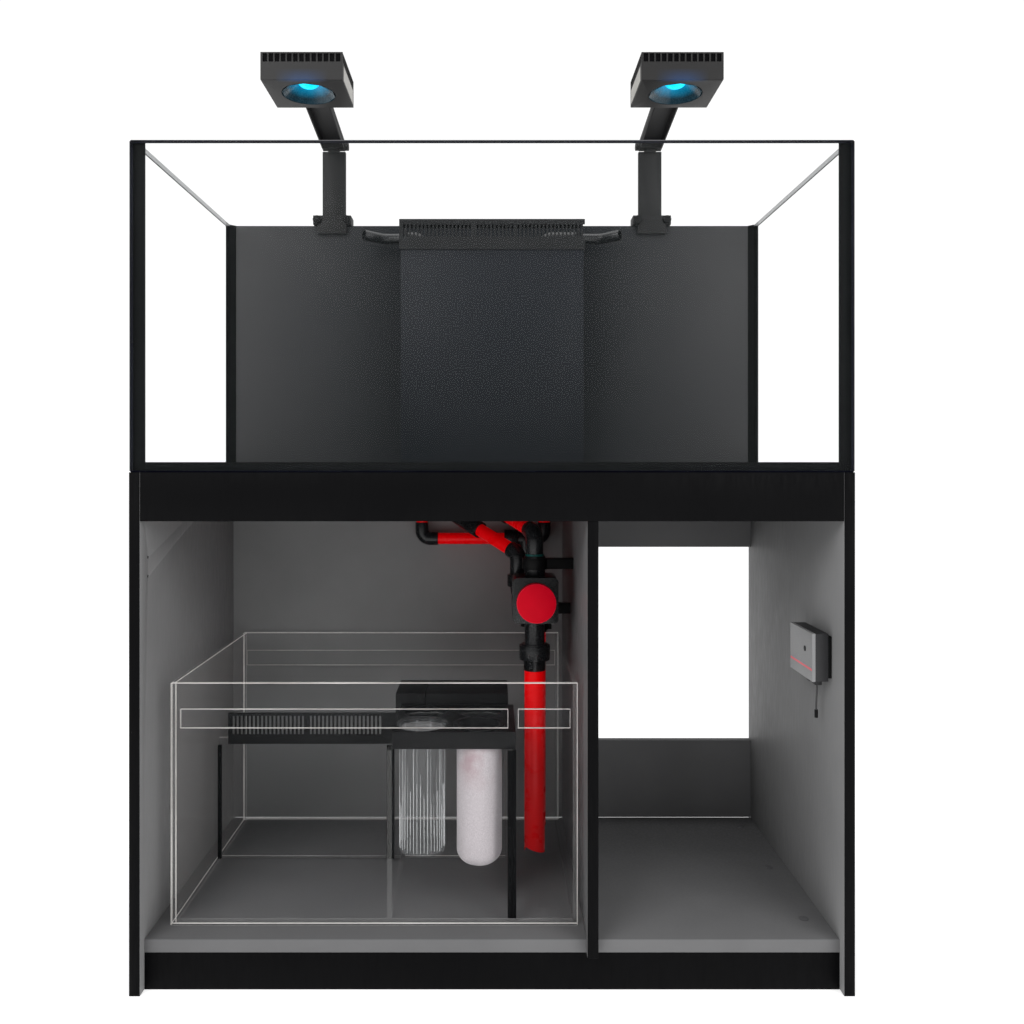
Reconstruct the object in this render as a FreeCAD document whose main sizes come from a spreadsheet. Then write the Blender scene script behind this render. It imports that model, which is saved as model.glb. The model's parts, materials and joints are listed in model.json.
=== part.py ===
"""Reef aquarium on a cabinet stand, with its overflow, plumbing, sump, two lamps and controller.

Frame: millimetres, +Z up, +X to the right seen from the front, +Y to the back.
Origin: on the floor, at the centre of the cabinet's footprint.
"""
import FreeCAD, Part
import Sketcher

import math
import os
import re

Vector = FreeCAD.Vector
Rotation = FreeCAD.Rotation
UP = Vector(0, 0, 1)
DOWN = Vector(0, 0, -1)

doc = FreeCAD.newDocument("reef_aquarium")
sheet = doc.addObject("Spreadsheet::Sheet", "dims")

# ---------------------------------------------------------------- driving dimensions
DRIVING = {
    # whole object
    "overall_width": 1200, "overall_depth": 575, "cabinet_height": 866, "tank_height": 550,
    # cabinet
    "panel": 18, "fascia_height": 81, "plinth_height": 62, "door_recess": 20,
    "floor_thickness": 22, "divider_x": 167, "rear_rail_bottom": 692, "rear_sill_top": 257,
    "cutout_margin": 8, "hinge_hole_radius": 2.5, "hinge_hole_depth": 12, "hinge_hole_setback": 37,
    "hinge_hole_pitch": 32, "hinge_hole_height": 706, "cap_radius": 8, "cap_thickness": 1.2,
    "cap_inset": 37, "cap_pitch": 207,
    # tank
    "glass": 12, "seam_leg": 11, "seam_bond": 1, "floor_seam_leg": 5,
    # overflow box and its comb
    "box_width": 386, "box_depth": 133, "box_wall": 6, "box_top_drop": 20, "comb_overhang": 3,
    "comb_height": 64, "comb_plate": 3, "comb_clearance": 0.3, "comb_clip_wall": 3,
    "comb_slot_width": 4.4, "comb_slot_pitch": 8.15, "comb_slot_rise": 27, "comb_slot_height": 26,
    "comb_side_slots": 18, "comb_mid_slots": 10, "comb_edge": 8.4, "comb_bridge": 12,
    # plumbing
    "drain_radius": 13.5, "drain_fitting_radius": 17, "return_radius": 12.5,
    "return_fitting_radius": 14.6, "pipe_wall": 2.2, "glue_gap": 0.1, "socket_depth": 16,
    "bulkhead_wall": 5, "bulkhead_flange": 12, "bulkhead_flange_thickness": 8,
    "bulkhead_nut_height": 15, "bulkhead_tail": 22, "hole_clearance": 0.4,
    "main_hole_x": 20, "spare_hole_x": -87, "drain_hole_y": 190, "drain_turn_z": 774,
    "return_left_x": -155, "return_right_x": 115, "return_y": 234.5, "return_z": 714,
    "return_tee_x": 76, "return_tee_half": 19, "return_tee_leg": 34, "return_bend": 18,
    "tee_pipe_left": 8, "tee_pipe_right": 6, "return_union_radius": 20, "return_union_left": 27,
    "pump_tail_z": 520,
    "pump_spigot_radius": 12.8, "pump_spigot_length": 36, "pump_collar_length": 24,
    "pump_collar_stop": 4, "return_elbow_reach": 36, "return_short_reach": 20,
    "standpipe_top_drop": 170, "spare_top_drop": 40, "nozzle_z_drop": 40, "nozzle_radius": 11.5,
    "nozzle_reach": 87, "nozzle_bend": 40, "nozzle_bend_share": 0.55, "nozzle_tip_forward": 26,
    "nozzle_tip_rise": 3, "nozzle_seat": 4, "riser_bend": 17, "spigot_clearance": 0.06,
    "drain_elbow_reach": 40, "main_turn_reach": 30, "spare_turn_reach": 22, "pipe_bend": 20,
    "coupling_end": 92, "coupling_wall": 0.6,
    "main_x": 83, "main_y": -9.5, "main_turn_z": 745, "down_radius": 20, "down_bottom_z": 122,
    "down_cut_rise": 12, "down_top_z": 494, "down_socket_radius": 21.4, "down_socket_bottom": 478,
    "nut_radius": 30, "nut_wall": 3.6, "nut_height": 28, "nut_bottom_z": 499, "nut_foot": 6,
    "down_flange_rise": 10, "down_flange_slack": 4, "valve_neck_radius": 19.4,
    "valve_size": 87, "valve_bottom_z": 575, "valve_corner": 9, "valve_bore": 13,
    "riser_socket_radius": 20.5, "riser_socket_top": 700, "seal_radius": 18.2, "seal_height": 4,
    "bonnet_radius": 25, "bonnet_length": 13, "gate_width": 30, "gate_thickness": 12,
    "gate_length": 34, "gate_travel": 13, "gate_clearance": 0.4, "stem_radius": 4,
    "stem_clearance": 0.06, "knob_radius": 37, "knob_thickness": 20, "knob_gap": 3,
    "spare_x": 53, "spare_y": 60, "spare_turn_z": 697, "spare_nut_radius": 22,
    "spare_nut_top": 656, "spare_nut_bottom": 632, "spare_jog_x": 95, "spare_jog_drop": 42,
    "spare_jog_lead": 12, "spare_jog_tail": 38, "spare_jog_overlap": 4,
    "spare_bottom_z": 150, "clip_wall": 4, "clip_height": 21, "clip_width": 16,
    "upper_clip_z": 675, "lower_clip_z": 577, "clip_ring_drop": 31, "clip_ring_height": 18,
    "clip_strut_offset": 18, "clip_strut": 7,
    # sump
    "sump_glass": 8, "sump_left_gap": 27, "sump_right_gap": 10, "sump_front_setback": 67,
    "sump_depth": 482, "sump_height": 418, "baffle_setback": 258, "baffle_height": 240,
    "chamber_height": 291, "partition_x": 31, "brace_height": 34,
    "brace_thickness": 5, "front_brace_top_drop": 47, "back_brace_top_drop": 38, "brace_gap": 17,
    "seal_strip_width": 15, "seal_strip_thickness": 7, "seal_strip_gap": 17, "seal_strip_drop": 14,
    "brace_left_gap": 6, "brace_right_gap": 4, "brace_reach": 3,
    "weir_height": 62, "weir_left_gap": 20, "weir_right_gap": 8,
    "weir_slot_rise": 19, "weir_slot_height": 37, "weir_gap": 12,
    "tray_height": 30, "tray_plate": 6, "tray_front_gap": 8, "tray_wall": 3, "tray_lip_gap": 9,
    "tray_hole_margin": 4, "tray_side_margin": 7, "tray_ledge": 10, "tray_right_room": 12,
    "cover_depth": 112, "cover_thickness": 21, "cover_split": 57, "cover_wall": 3,
    "cover_left_reach": 13, "cover_gap": 1, "cover_tray_gap": 0.5,
    "cup_wall": 2, "cup_drop": 221, "lip_overlap": 5, "lip_thickness": 3,
    "sock_radius": 41.5, "sock_wall": 2.5, "sock_drop": 245, "sock_round": 34,
    "sock_collar_length": 20, "sock_clearance": 0.3, "sock_wall_gap": 12.5, "sock_ring_wall": 2,
    # lamps
    "lamp_x": 359, "lamp_width": 155, "lamp_depth": 139, "lamp_height": 53,
    "lamp_bottom_rise": 187, "lamp_front_setback": 216, "lamp_shell": 4, "reflector_radius": 52,
    "reflector_depth": 24, "lens_radius": 21, "lens_thickness": 4, "reflector_wall": 2,
    "clamp_width": 84.5, "clamp_height": 20, "clamp_lip_depth": 13, "clamp_lip_drop": 20,
    "clamp_sleeve_drop": 40, "clamp_sleeve_depth": 17, "clamp_sleeve_width": 64,
    "post_width": 52, "post_thickness": 12, "post_below_rim": 70, "post_gap": 2.4,
    "slide_clearance": 0.3, "hinge_rise": 184, "knuckle_radius": 10, "tongue_width": 24,
    "arm_width": 50, "arm_thickness": 22, "arm_rise_angle": 7, "arm_start": 13, "arm_wall": 3,
    "arm_extra": 20, "ear_clearance": 0.4, "hinge_pin_radius": 4, "hinge_pin_clearance": 0.06,
    "hinge_knob_radius": 9, "hinge_knob_length": 8, "screw_head_radius": 9,
    "screw_head_length": 7, "screw_shank_radius": 3, "screw_spacing": 66,
    # controller
    "ctrl_length": 116, "ctrl_height": 82, "ctrl_front_setback": 50, "ctrl_bottom_z": 508,
    "ctrl_bracket": 8, "bracket_front": 6, "bracket_back": 5, "bracket_bottom": 4,
    "bracket_top": 6, "ctrl_case": 22, "ctrl_cover": 6, "ctrl_wall": 2.5,
    "button_radius": 4.5, "button_length": 6, "button_clearance": 0.3,
    "button_height": 50, "button_setback": 37, "button_proud": 0.8, "plug_width": 12,
    "plug_height": 12, "plug_inset": 2,
    "plug_length": 16, "plug_front": 26, "plug_pitch": 30, "lead_radius": 1.5,
    "lead_end_radius": 3, "lead_end_length": 14,
}

# ---------------------------------------------------------------- sizes worked out from them
DERIVED = {
    "side_x": "=overall_width / 2",
    "inner_x": "=side_x - panel",
    "back_y": "=overall_depth / 2",
    "front_y": "=-overall_depth / 2",
    "floor_top": "=plinth_height + floor_thickness",
    "deck_bottom": "=cabinet_height - panel",
    "board_front": "=front_y + door_recess",
    "back_board": "=back_y - panel",
    "divider_left": "=divider_x - panel / 2",
    "divider_right": "=divider_x + panel / 2",
    "tank_floor": "=cabinet_height + glass",
    "rim_z": "=cabinet_height + tank_height",
    "glass_in_x": "=side_x - glass",
    "glass_in_back": "=back_y - glass",
    "glass_in_front": "=front_y + glass",
    "box_x": "=box_width / 2",
    "box_front": "=glass_in_back - box_depth",
    "comb_top": "=rim_z - box_top_drop",
    "comb_bottom": "=comb_top - comb_height",
    "comb_seat": "=comb_bottom + comb_clip_wall * 4",
    "nozzle_z": "=rim_z - nozzle_z_drop",
    "valve_top": "=valve_bottom_z + valve_size",
    "knob_z": "=valve_bottom_z + valve_size / 2",
    "valve_front": "=main_y - valve_size / 2",
    "sump_left": "=-inner_x + sump_left_gap",
    "sump_right": "=divider_left - sump_right_gap",
    "sump_front": "=front_y + sump_front_setback",
    "sump_back": "=sump_front + sump_depth",
    "sump_top": "=floor_top + sump_height",
    "sump_floor": "=floor_top + sump_glass",
    "sump_in_left": "=sump_left + sump_glass",
    "sump_in_right": "=sump_right - sump_glass",
    "sump_in_front": "=sump_front + sump_glass",
    "sump_in_back": "=sump_back - sump_glass",
    "baffle_y": "=sump_front + baffle_setback",
    "baffle_top": "=sump_floor + baffle_height",
    "tray_seat": "=sump_floor + chamber_height",
    "tray_top": "=tray_seat + tray_height",
    "tray_hole_radius": "=sock_radius + 0.5",
    "cup_radius": "=sock_radius - 1",
    "lip_radius": "=sock_radius + lip_overlap",
    "tray_pitch_x": "=lip_radius * 2 + tray_lip_gap",
    "tray_pitch_y": "=tray_hole_radius * 2 + tray_hole_margin * 2",
    "hole_right_x": "=partition_x - sock_radius - sock_wall_gap",
    "hole_left_x": "=hole_right_x - tray_pitch_x",
    "tray_left": "=hole_left_x - tray_hole_radius - tray_side_margin",
    "tray_right": "=partition_x + tray_ledge",
    "tray_front": "=sump_in_front + tray_front_gap",
    "hole_front_y": "=tray_front + tray_hole_radius + tray_hole_margin",
    "tray_back": "=hole_front_y + tray_pitch_y + tray_hole_radius + tray_hole_margin",
    "chamber_wall_x": "=tray_left - sump_glass / 2",
    "weir_left": "=sump_in_left + weir_left_gap",
    "weir_width": "=chamber_wall_x - sump_glass / 2 - weir_right_gap - weir_left",
    "weir_slots": "=floor((weir_width - comb_edge * 2 - weir_gap) / comb_slot_pitch / 2)",
    "lamp_bottom": "=rim_z + lamp_bottom_rise",
    "lamp_front": "=front_y + lamp_front_setback",
    "lamp_back": "=lamp_front + lamp_depth",
    "lamp_mid_y": "=lamp_front + lamp_depth / 2",
    "hinge_z": "=rim_z + hinge_rise",
    "post_front": "=back_y + post_gap",
    "post_back": "=post_front + post_thickness",
    "hinge_y": "=post_back - knuckle_radius",
    "ctrl_front": "=front_y + ctrl_front_setback",
    "ctrl_back": "=ctrl_front + ctrl_length",
    "ctrl_top": "=ctrl_bottom_z + ctrl_height",
    "ctrl_case_x": "=inner_x - ctrl_bracket",
    "ctrl_cover_x": "=ctrl_case_x - ctrl_case",
    "ctrl_face_x": "=ctrl_cover_x - ctrl_cover",
}


def fill_sheet():
    """One row per size: its name, its value or formula, and the name as the cell's alias."""
    for row, (name, value) in enumerate({**DRIVING, **DERIVED}.items(), start=1):
        sheet.set("A%d" % row, name)
        sheet.set("B%d" % row, str(value))
        sheet.setAlias("B%d" % row, name)
    doc.recompute()


fill_sheet()
ALIAS = re.compile(r"\b(" + "|".join(sorted({**DRIVING, **DERIVED}, key=len, reverse=True)) + r")\b")
NODES = {}


def bind(thing, prop, expression):
    """Tie a property to an expression in the sheet's names."""
    thing.setExpression(prop, ALIAS.sub(r"dims.\1", str(expression)))


def size(name):
    """A sheet value as a number, for shapes that are made with Part's own functions."""
    return float(getattr(sheet, name))


def place(thing, x, y, z):
    for axis, expression in zip("xyz", (x, y, z)):
        bind(thing, "Placement.Base." + axis, expression)


def block(tag, x, y, z):
    """A box from pairs of expressions: (low, high) along each axis."""
    made = doc.addObject("Part::Box", tag)
    for prop, (low, high) in zip(("Length", "Width", "Height"), (x, y, z)):
        bind(made, prop, "(%s) - (%s)" % (high, low))
    place(made, x[0], y[0], z[0])
    return made


def rod(tag, axis, radius, start, end, at):
    """A cylinder along axis X, Y or Z; at is where its axis lies on the other two, in order."""
    made = doc.addObject("Part::Cylinder", tag)
    bind(made, "Radius", radius)
    bind(made, "Height", "(%s) - (%s)" % (end, start))
    turns = {"X": Rotation(Vector(0, 1, 0), 90), "Y": Rotation(Vector(1, 0, 0), -90), "Z": Rotation()}
    made.Placement = FreeCAD.Placement(Vector(), turns[axis])
    spots = {"X": (start, at[0], at[-1]), "Y": (at[0], start, at[-1]), "Z": (at[0], at[-1], start)}
    place(made, *spots[axis])
    return made


def fuse(tag, *pieces):
    made = doc.addObject("Part::MultiFuse", tag)
    made.Shapes = list(pieces)
    made.Refine = True
    return made


def group(tag, *pieces):
    """Separate solids that share one node."""
    made = doc.addObject("Part::Compound", tag)
    made.Links = list(pieces)
    return made


def cut(tag, base, *tools):
    made = doc.addObject("Part::Cut", tag)
    made.Base = base
    made.Tool = tools[0] if len(tools) == 1 else fuse(tag + "_tools", *tools)
    return made


def shaped(tag, shape):
    """A piece whose shape comes from Part's own functions."""
    made = doc.addObject("Part::Feature", tag)
    made.Shape = shape
    return made


def node(label, thing):
    """Name a finished sub-part; the label is its file's name."""
    thing.Label = label
    NODES[label] = thing
    return thing


def ring(tag, axis, outer, inner, start, end, at):
    return cut(tag, rod(tag + "_outer", axis, outer, start, end, at),
               rod(tag + "_bore", axis, inner, start + " - 1", end + " + 1", at))


# ---------------------------------------------------------------- pipes
def path_wire(points, bend=None):
    """Straight runs joined by tangent arcs of radius bend, or as large as each pair of runs allows."""
    edges = []
    last = points[0]
    for before, corner, after in zip(points, points[1:], points[2:]):
        inward = (before - corner).normalize()
        outward = (after - corner).normalize()
        half_turn = (math.pi - inward.getAngle(outward)) / 2
        if bend is None:
            back_off = 0.45 * min((before - corner).Length, (after - corner).Length)
        else:
            back_off = bend * math.tan(half_turn)
        radius = back_off / math.tan(half_turn)
        start = corner + inward * back_off
        end = corner + outward * back_off
        middle_dir = (inward + outward).normalize()
        centre = corner + middle_dir * (radius / math.cos(half_turn))
        edges.append(Part.LineSegment(last, start).toShape())
        edges.append(Part.Arc(start, centre - middle_dir * radius, end).toShape())
        last = end
    edges.append(Part.LineSegment(last, points[-1]).toShape())
    return Part.Wire(edges)


def swept_rod(points, radius, bend=None):
    wire = path_wire(points, bend)
    circle = Part.Wire([Part.makeCircle(radius, points[0], points[1] - points[0])])
    return wire.makePipeShell([circle], True, True)


def tube(points, outer, inner, bend):
    return swept_rod(points, outer, bend).cut(swept_rod(points, inner, bend))


def along(start, end, distance):
    return start + (end - start).normalize() * distance


def fitting(points, pipe_radius, outer, bend):
    """A black fitting: a sleeve that the pipes' ends are glued into."""
    return tube(points, outer, pipe_radius + size("glue_gap"), bend)


def pipe(start, end, radius):
    return tube([start, end], radius, radius - size("pipe_wall"), radius)


# ---------------------------------------------------------------- cabinet
def cabinet():
    z_full = ("0", "cabinet_height")
    depth = ("front_y", "back_y")
    left = block("left_board", ("-side_x", "-inner_x"), depth, z_full)
    holes = [rod("hinge_hole_%d" % row, "X", "hinge_hole_radius",
                 "-inner_x - hinge_hole_depth", "-inner_x + 1",
                 ("front_y + hinge_hole_setback", "hinge_hole_height + hinge_hole_pitch * %s" % step))
             for row, step in enumerate(("-0.5", "0.5"))]
    node("side_panel_left", cut("left_drilled", left, *holes))
    node("side_panel_right", block("right_board", ("inner_x", "side_x"), depth, z_full))
    node("floor_panel", block("floor_board", ("-inner_x", "inner_x"), ("board_front", "back_board"),
                              ("plinth_height", "floor_top")))
    upright = block("divider_board", ("divider_left", "divider_right"), ("front_y", "back_board"),
                    ("plinth_height", "deck_bottom"))
    notch = block("divider_notch", ("divider_left - 1", "divider_right + 1"), ("board_front", "back_y"),
                  ("plinth_height - 1", "floor_top"))
    top_notch = block("divider_top_notch", ("divider_left - 1", "divider_right + 1"),
                      ("front_y - 1", "front_y + panel"),
                      ("cabinet_height - fascia_height", "cabinet_height"))
    node("centre_divider", cut("divider_cut", upright, notch, top_notch))
    deck = block("deck_board", ("-inner_x", "inner_x"), ("front_y + panel", "back_y"),
                 ("deck_bottom", "cabinet_height"))
    opening = block("deck_opening", ("-box_x + cutout_margin", "box_x - cutout_margin"),
                    ("box_front + cutout_margin", "glass_in_back - cutout_margin"),
                    ("deck_bottom - 1", "cabinet_height + 1"))
    node("top_panel", cut("deck_cut", deck, opening))
    node("front_fascia", block("fascia_board", ("-inner_x", "inner_x"), ("front_y", "front_y + panel"),
                               ("cabinet_height - fascia_height", "cabinet_height")))
    node("plinth_boards", group(
        "plinths",
        block("plinth_front", ("-inner_x", "inner_x"), ("board_front", "board_front + panel"),
              ("0", "plinth_height")),
        block("plinth_back", ("-inner_x", "inner_x"), ("back_board - panel", "back_board"),
              ("0", "plinth_height")),
        block("plinth_middle", ("divider_left", "divider_right"),
              ("board_front + panel", "back_board - panel"), ("0", "plinth_height"))))
    node("back_panel_left", block("back_board_left", ("-inner_x", "divider_right"),
                                  ("back_board", "back_y"), ("floor_top", "deck_bottom")))
    node("back_rails_right", group(
        "rear_rails",
        block("rear_rail", ("divider_right", "inner_x"), ("back_board", "back_y"),
              ("rear_rail_bottom", "deck_bottom")),
        block("rear_sill", ("divider_right", "inner_x"), ("back_board", "back_y"),
              ("floor_top", "rear_sill_top"))))
    node("cam_lock_caps", group(
        "caps", *[rod("cap_%d" % step, "Z", "cap_radius", "floor_top", "floor_top + cap_thickness",
                      ("inner_x - cap_inset", "9.5 + cap_pitch * %d" % step)) for step in (-1, 0, 1)]))


# ---------------------------------------------------------------- display tank
def corner_seam(tag, side, end):
    """A vertical bead: a bond under the side pane's edge and a fillet in the corner."""
    face = size("glass_in_front") * (1 if end == "front" else -1)
    inward = 1 if end == "front" else -1
    outer = size("side_x")
    inner = size("glass_in_x")
    leg = size("seam_leg")
    bond = size("seam_bond")
    profile = [(outer, 0), (inner - leg, 0), (inner, leg), (inner, bond), (outer, bond)]
    points = [Vector(side * x, face + inward * y, size("cabinet_height")) for x, y in profile]
    face_shape = Part.Face(Part.makePolygon(points + points[:1]))
    return shaped(tag, face_shape.extrude(UP * size("tank_height")))


def floor_seam(tag, start, end, inward):
    """A small fillet bead along one wall, on the tank's floor."""
    leg = size("floor_seam_leg")
    points = [start, start + inward * leg, start + UP * leg]
    return shaped(tag, Part.Face(Part.makePolygon(points + points[:1])).extrude(end - start))


def tank():
    z = ("cabinet_height", "rim_z")
    across = ("-side_x", "side_x")
    node("tank_front_pane", block("front_glass", across, ("front_y", "glass_in_front"), z))
    node("tank_back_pane", block("back_glass", across, ("glass_in_back", "back_y"), z))
    between = ("glass_in_front + seam_bond", "glass_in_back - seam_bond")
    node("tank_side_panes", group("side_glass",
                                  block("left_glass", ("-side_x", "-glass_in_x"), between, z),
                                  block("right_glass", ("glass_in_x", "side_x"), between, z)))
    plate = block("bottom_glass", ("-glass_in_x", "glass_in_x"), ("glass_in_front", "glass_in_back"),
                  ("cabinet_height", "tank_floor"))
    beads = [block("bead_notch_%d%d" % (side, end),
                   ("%d * glass_in_x - seam_leg" % side, "%d * glass_in_x + seam_leg" % side),
                   ("%d * glass_in_back - seam_leg" % end, "%d * glass_in_back + seam_leg" % end),
                   ("cabinet_height - 1", "tank_floor + 1"))
             for side in (-1, 1) for end in (-1, 1)]
    holes = [rod("glass_hole_%d" % number, "Z", "%s + bulkhead_wall + hole_clearance" % radius,
                 "cabinet_height - 1", "tank_floor + 1", (x, y))
             for number, (x, y, radius) in enumerate(BULKHEADS)]
    node("tank_bottom_pane", cut("bottom_drilled", plate, *beads, *holes))
    far = size("glass_in_x")
    leg = size("seam_leg")
    front = size("glass_in_front")
    floor_z = size("tank_floor")
    seams = [corner_seam("seam_%d_%s" % (side, end), side, end)
             for side in (-1, 1) for end in ("front", "back")]
    seams.append(floor_seam("seam_floor_front", Vector(-far + leg, front, floor_z),
                            Vector(far - leg, front, floor_z), Vector(0, 1, 0)))
    for side in (-1, 1):
        seams.append(floor_seam("seam_floor_%d" % side, Vector(side * far, front + leg, floor_z),
                                Vector(side * far, -front - leg, floor_z), Vector(-side, 0, 0)))
    node("tank_seams", group("seams", *seams))


# ---------------------------------------------------------------- combs
def rectangle_sketch(body, tag, sides):
    """A rectangle on the body's XZ plane; sides are expressions: left, right, bottom, top."""
    sketch = body.newObject("Sketcher::SketchObject", tag)
    plane = next(f for f in body.Origin.OriginFeatures if f.Role == "XZ_Plane")
    sketch.AttachmentSupport = [(plane, "")]
    sketch.MapMode = "FlatFace"
    corners = [Vector(1, 1, 0), Vector(3, 1, 0), Vector(3, 3, 0), Vector(1, 3, 0)]
    for number in range(4):
        sketch.addGeometry(Part.LineSegment(corners[number], corners[(number + 1) % 4]), False)
    for number in range(4):
        sketch.addConstraint(Sketcher.Constraint("Coincident", number, 2, (number + 1) % 4, 1))
    for number, kind in enumerate(("Horizontal", "Vertical", "Horizontal", "Vertical")):
        sketch.addConstraint(Sketcher.Constraint(kind, number))
    spots = (("DistanceX", 0, 1, 1.0), ("DistanceX", 1, 1, 3.0),
             ("DistanceY", 0, 1, 1.0), ("DistanceY", 2, 1, 3.0))
    for (kind, edge, end, value), expression in zip(spots, sides):
        index = sketch.addConstraint(Sketcher.Constraint(kind, -1, 1, edge, end, value))
        bind(sketch, "Constraints[%d]" % index, expression)
    return sketch


def slotted_plate(tag, width, height, thickness, slot_groups):
    """A plate with rows of upright slots: each row's left, bottom, top, slot width, pitch and count."""
    body = doc.addObject("PartDesign::Body", tag)
    outline = rectangle_sketch(body, tag + "_outline", ("0.001", width, "0.001", height))
    pad = body.newObject("PartDesign::Pad", tag + "_pad")
    pad.Profile = outline
    bind(pad, "Length", thickness)
    pad.Reversed = True
    doc.recompute()
    for number, (left, bottom, top, width_of_slot, pitch, count) in enumerate(slot_groups):
        name = "%s_slot_%d" % (tag, number)
        opening = rectangle_sketch(body, name, (left, "%s + %s" % (left, width_of_slot), bottom, top))
        pocket = body.newObject("PartDesign::Pocket", name + "_pocket")
        pocket.Profile = opening
        pocket.Type = "ThroughAll"
        pocket.Midplane = True
        doc.recompute()
        pattern = body.newObject("PartDesign::LinearPattern", name + "_row")
        pattern.Originals = [pocket]
        pattern.Direction = (opening, ["H_Axis"])
        bind(pattern, "Length", "(%s) * (%s - 1)" % (pitch, count))
        bind(pattern, "Occurrences", count)
        body.Tip = pattern
        doc.recompute()
    return body


def slot_row(left, count, rise, height):
    """One row of upright slots, as slotted_plate takes it."""
    return left, rise, "%s + %s" % (rise, height), "comb_slot_width", "comb_slot_pitch", count


def overflow():
    z = ("tank_floor", "comb_top")
    side_y = ("box_front", "glass_in_back")
    front = block("weir_front", ("-box_x", "box_x"), ("box_front", "box_front + box_wall"),
                  ("tank_floor", "comb_seat"))
    left = block("weir_left", ("-box_x", "-box_x + box_wall"), side_y, z)
    right = block("weir_right", ("box_x - box_wall", "box_x"), side_y, z)
    front_trim = block("weir_trim", ("-box_x - 1", "box_x + 1"),
                       ("box_front - 1", "box_front + box_wall + comb_clearance + comb_clip_wall + 1"),
                       ("comb_seat", "comb_top + 1"))
    lip_room = block("weir_lip_room", ("-box_x + box_wall - 1.5", "box_x - box_wall + 1.5"),
                     ("box_front + box_wall", "box_front + box_wall + comb_clearance + comb_clip_wall + 1"),
                     ("comb_bottom - 1", "comb_top + 1"))
    nozzle_hole = rod("nozzle_hole", "X", "return_fitting_radius + hole_clearance", "-box_x - 1",
                      "box_x + 1", ("return_y", "nozzle_z"))
    node("overflow_box", cut("weir_cut", fuse("weir_walls", front, left, right), front_trim, lip_room,
                             nozzle_hole))
    width = "(box_width + comb_overhang * 2)"
    side_span = "comb_slot_pitch * (comb_side_slots - 1) + comb_slot_width"
    mid_left = "(comb_edge + %s + comb_bridge)" % side_span
    right_left = "(%s - comb_edge - %s)" % (width, side_span)
    slots = [slot_row(left_end, count, "comb_slot_rise", "comb_slot_height")
             for left_end, count in (("comb_edge", "comb_side_slots"), (mid_left, "comb_mid_slots"),
                                     (right_left, "comb_side_slots"))]
    plate = slotted_plate("comb_plate_body", width, "comb_height", "comb_plate", slots)
    place(plate, "-box_x - comb_overhang", "box_front - comb_clearance - comb_plate", "comb_bottom")
    clip_back = "box_front + box_wall + comb_clearance + comb_clip_wall"
    web = block("comb_web", ("-box_x + box_wall", "box_x - box_wall"),
                ("box_front - comb_clearance - comb_plate / 2", clip_back),
                ("comb_seat", "comb_seat + comb_clip_wall"))
    lip = block("comb_lip", ("-box_x + box_wall", "box_x - box_wall"),
                ("box_front + box_wall + comb_clearance", clip_back), ("comb_bottom", "comb_seat + 1"))
    node("overflow_comb", fuse("comb_all", plate, web, lip))


# ---------------------------------------------------------------- plumbing in the overflow box
BULKHEADS = [("main_hole_x", "drain_hole_y", "drain_radius"),
             ("spare_hole_x", "drain_hole_y", "drain_radius"),
             ("return_left_x", "return_y", "return_radius"),
             ("return_right_x", "return_y", "return_radius")]


def bulkheads():
    """Through-glass fittings: flange above the glass, threaded body, nut below."""
    pieces = []
    for number, (x, y, radius) in enumerate(BULKHEADS):
        tag = "bulkhead_%d" % number
        wall = "%s + bulkhead_wall" % radius
        flange_top = "tank_floor + bulkhead_flange_thickness"
        body = fuse(tag + "_body",
                    rod(tag + "_shank", "Z", wall, "cabinet_height - bulkhead_tail", flange_top, (x, y)),
                    rod(tag + "_flange", "Z", "%s + bulkhead_flange" % radius, "tank_floor", flange_top,
                        (x, y)))
        bore = rod(tag + "_bore", "Z", "%s + glue_gap" % radius, "cabinet_height - bulkhead_tail - 1",
                   "tank_floor + bulkhead_flange_thickness + 1", (x, y))
        pieces.append(cut(tag, body, bore))
        pieces.append(ring(tag + "_nut", "Z", "%s + bulkhead_flange - 1" % radius,
                           "%s + glue_gap" % wall, "cabinet_height - bulkhead_nut_height",
                           "cabinet_height", (x, y)))
    node("floor_bulkheads", group("bulkhead_set", *pieces))


def point(x, y, z):
    """A point from sheet names or plain numbers."""
    return Vector(*[size(value) if isinstance(value, str) else value for value in (x, y, z)])


def standpipes():
    joint_z = size("cabinet_height")
    drain = size("drain_radius")
    supply = size("return_radius")
    tops = (("main_hole_x", size("comb_top") - size("standpipe_top_drop")),
            ("spare_hole_x", size("comb_top") - size("spare_top_drop")))
    solids = [pipe(point(x, "drain_hole_y", joint_z), point(x, "drain_hole_y", top), drain)
              for x, top in tops]
    reach = size("return_elbow_reach") - size("socket_depth")
    for x in ("return_left_x", "return_right_x"):
        solids.append(pipe(point(x, "return_y", size("return_z") + reach),
                           point(x, "return_y", size("nozzle_z") - reach), supply))
    node("overflow_standpipes", group("standpipe_set", *[shaped("standpipe_%d" % number, solid)
                                                         for number, solid in enumerate(solids)]))


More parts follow.
